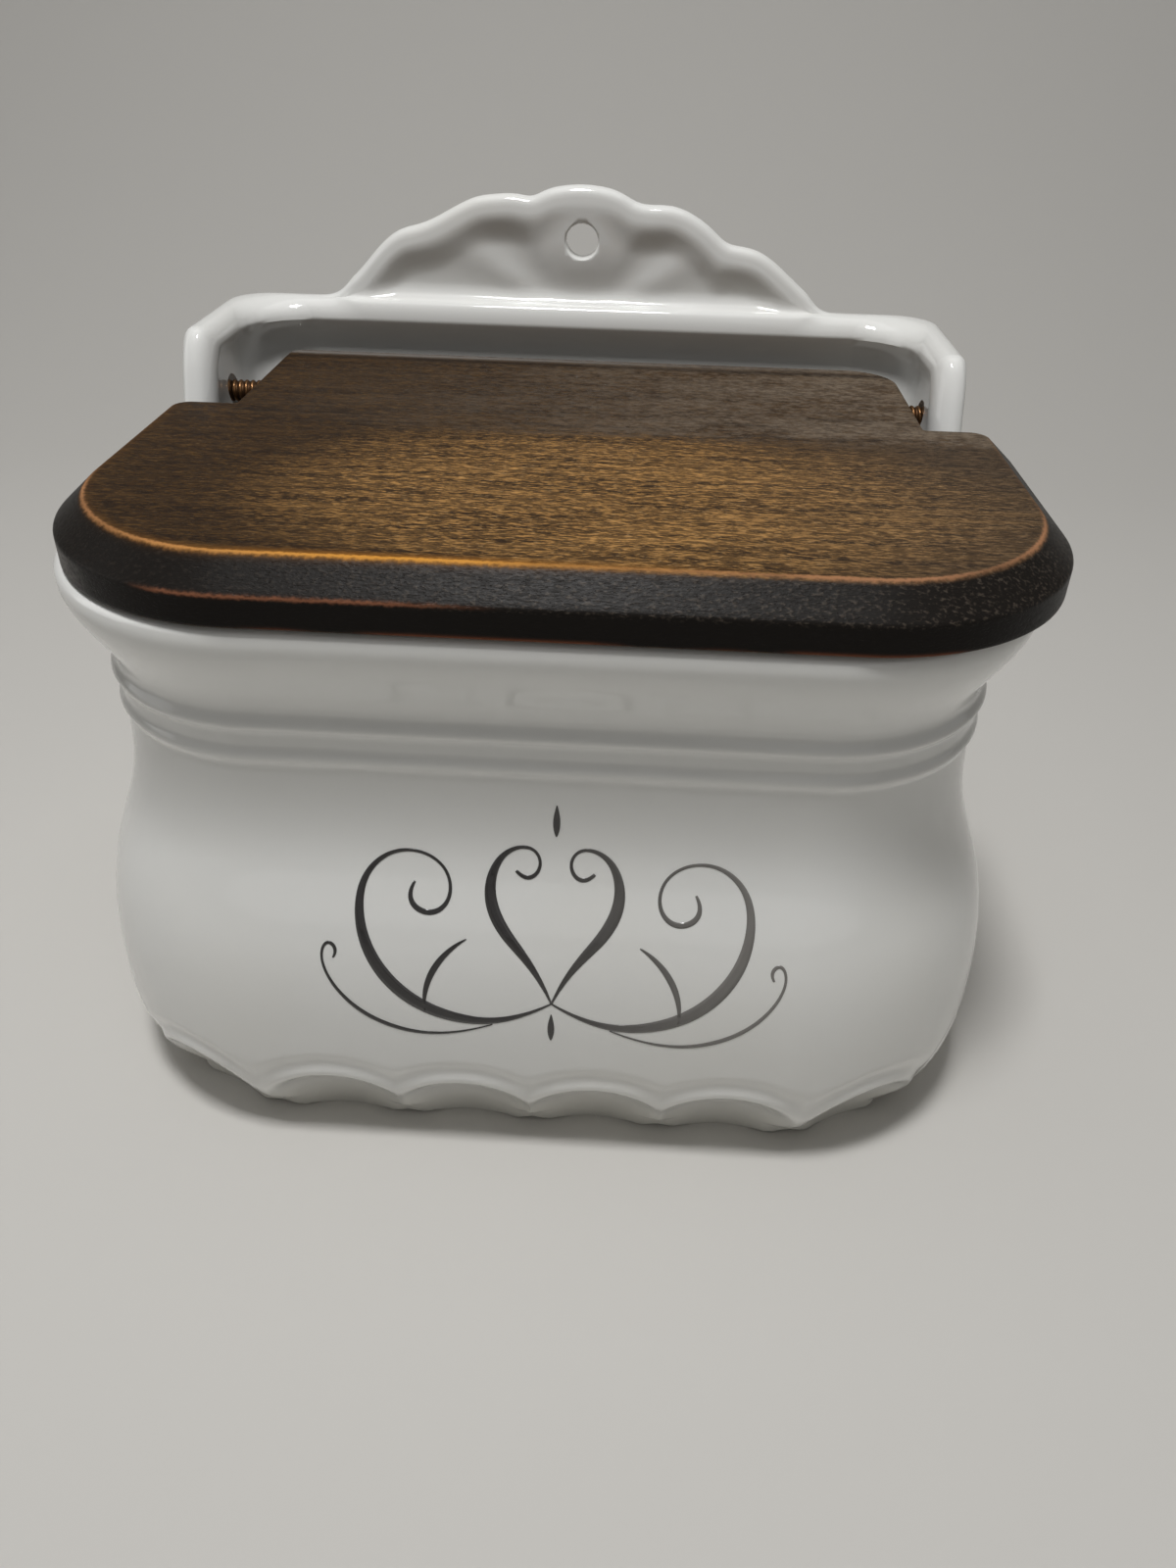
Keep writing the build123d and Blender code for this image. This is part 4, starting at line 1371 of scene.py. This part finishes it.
def make_world(scene):
    """An even room that cameras and mirrors see as brighter than it lights."""
    world = bpy.data.worlds.new("studio")
    scene.world = world
    world.use_nodes = True
    world.node_tree.nodes.clear()
    tree = Wire(world.node_tree)
    path = tree.node("ShaderNodeLightPath", None, None, "Is Camera Ray")
    seen = path.most(path.out("Is Glossy Ray")).most(path.out("Is Transmission Ray"))
    light = tree.node("ShaderNodeBackground", None, {
        "Color": (1.0, 0.985, 0.96, 1), "Strength": ROOM_LIGHT + seen * ROOM_SEEN,
    })
    finish_tree(tree, light, "ShaderNodeOutputWorld")


def place_lamps(scene):
    """Square lamps that all face the pot."""
    for name, place, size, power in LAMPS:
        data = bpy.data.lights.new(name, "AREA")
        data.shape, data.size, data.energy = "SQUARE", size, power
        lamp = bpy.data.objects.new(name, data)
        lamp.location = place
        lamp.rotation_mode = "QUATERNION"
        lamp.rotation_quaternion = (LAMP_TARGET - Vector(place)).to_track_quat("-Z", "Y")
        scene.collection.objects.link(lamp)


def place_camera(scene):
    """The photograph's camera: where it stood, how it was turned and how wide it sees."""
    yaw, pitch, roll = CAMERA_TURN
    forward = Vector((
        math.sin(yaw) * math.cos(pitch), math.cos(yaw) * math.cos(pitch), -math.sin(pitch),
    ))
    right = Vector((math.cos(yaw), -math.sin(yaw), 0))
    down = forward.cross(right)
    turned_right = right * math.cos(roll) + down * math.sin(roll)
    turned_down = down * math.cos(roll) - right * math.sin(roll)
    matrix = Matrix((turned_right, -turned_down, -forward)).transposed()
    data = bpy.data.cameras.new("camera")
    data.sensor_width, data.lens, data.clip_start = CAMERA_SENSOR, CAMERA_LENS, 5 * MM
    camera = bpy.data.objects.new("camera", data)
    camera.matrix_world = Matrix.Translation(CAMERA_PLACE) @ matrix.to_4x4()
    scene.collection.objects.link(camera)
    scene.camera = camera


class SALTPOT_OT_stage(bpy.types.Operator):
    """Make the floor, the backdrop, the lamps and the camera"""

    bl_idname = "saltpot.stage"
    bl_label = "Stage"

    def execute(self, context):
        scene = context.scene
        scene.view_settings.view_transform = "Standard"
        make_sweep(scene.saltpot_looks)
        make_world(scene)
        place_lamps(scene)
        place_camera(scene)
        return {"FINISHED"}


class SALTPOT_PT_panel(bpy.types.Panel):
    """Salt pot"""

    bl_idname = "SALTPOT_PT_panel"
    bl_label = "Salt Pot"
    bl_space_type = "VIEW_3D"
    bl_region_type = "UI"
    bl_category = "Salt Pot"

    def draw(self, context):
        for operator in OPERATORS:
            self.layout.operator(operator.bl_idname)
        for group in ("saltpot_sizes", "saltpot_lid", "saltpot_pin", "saltpot_looks"):
            owner = getattr(context.scene, group)
            for name in owner.__annotations__:
                self.layout.prop(owner, name)


OPERATORS = (SALTPOT_OT_pot, SALTPOT_OT_flourish, SALTPOT_OT_lid, SALTPOT_OT_pins, SALTPOT_OT_stage)
GROUPS = {
    "saltpot_sizes": PotSizes, "saltpot_lid": LidSizes, "saltpot_pin": PinSizes, "saltpot_looks": PotLooks,
}


def register():
    for each in (*GROUPS.values(), *OPERATORS, SALTPOT_PT_panel):
        bpy.utils.register_class(each)
    for name, group in GROUPS.items():
        setattr(bpy.types.Scene, name, PointerProperty(type=group))


def unregister():
    for name in GROUPS:
        delattr(bpy.types.Scene, name)
    for each in (SALTPOT_PT_panel, *reversed(OPERATORS), *GROUPS.values()):
        bpy.utils.unregister_class(each)


def main():
    register()
    for operator in OPERATORS:
        group, name = operator.bl_idname.split(".")
        getattr(getattr(bpy.ops, group), name)()


if __name__ == "__main__":
    main()
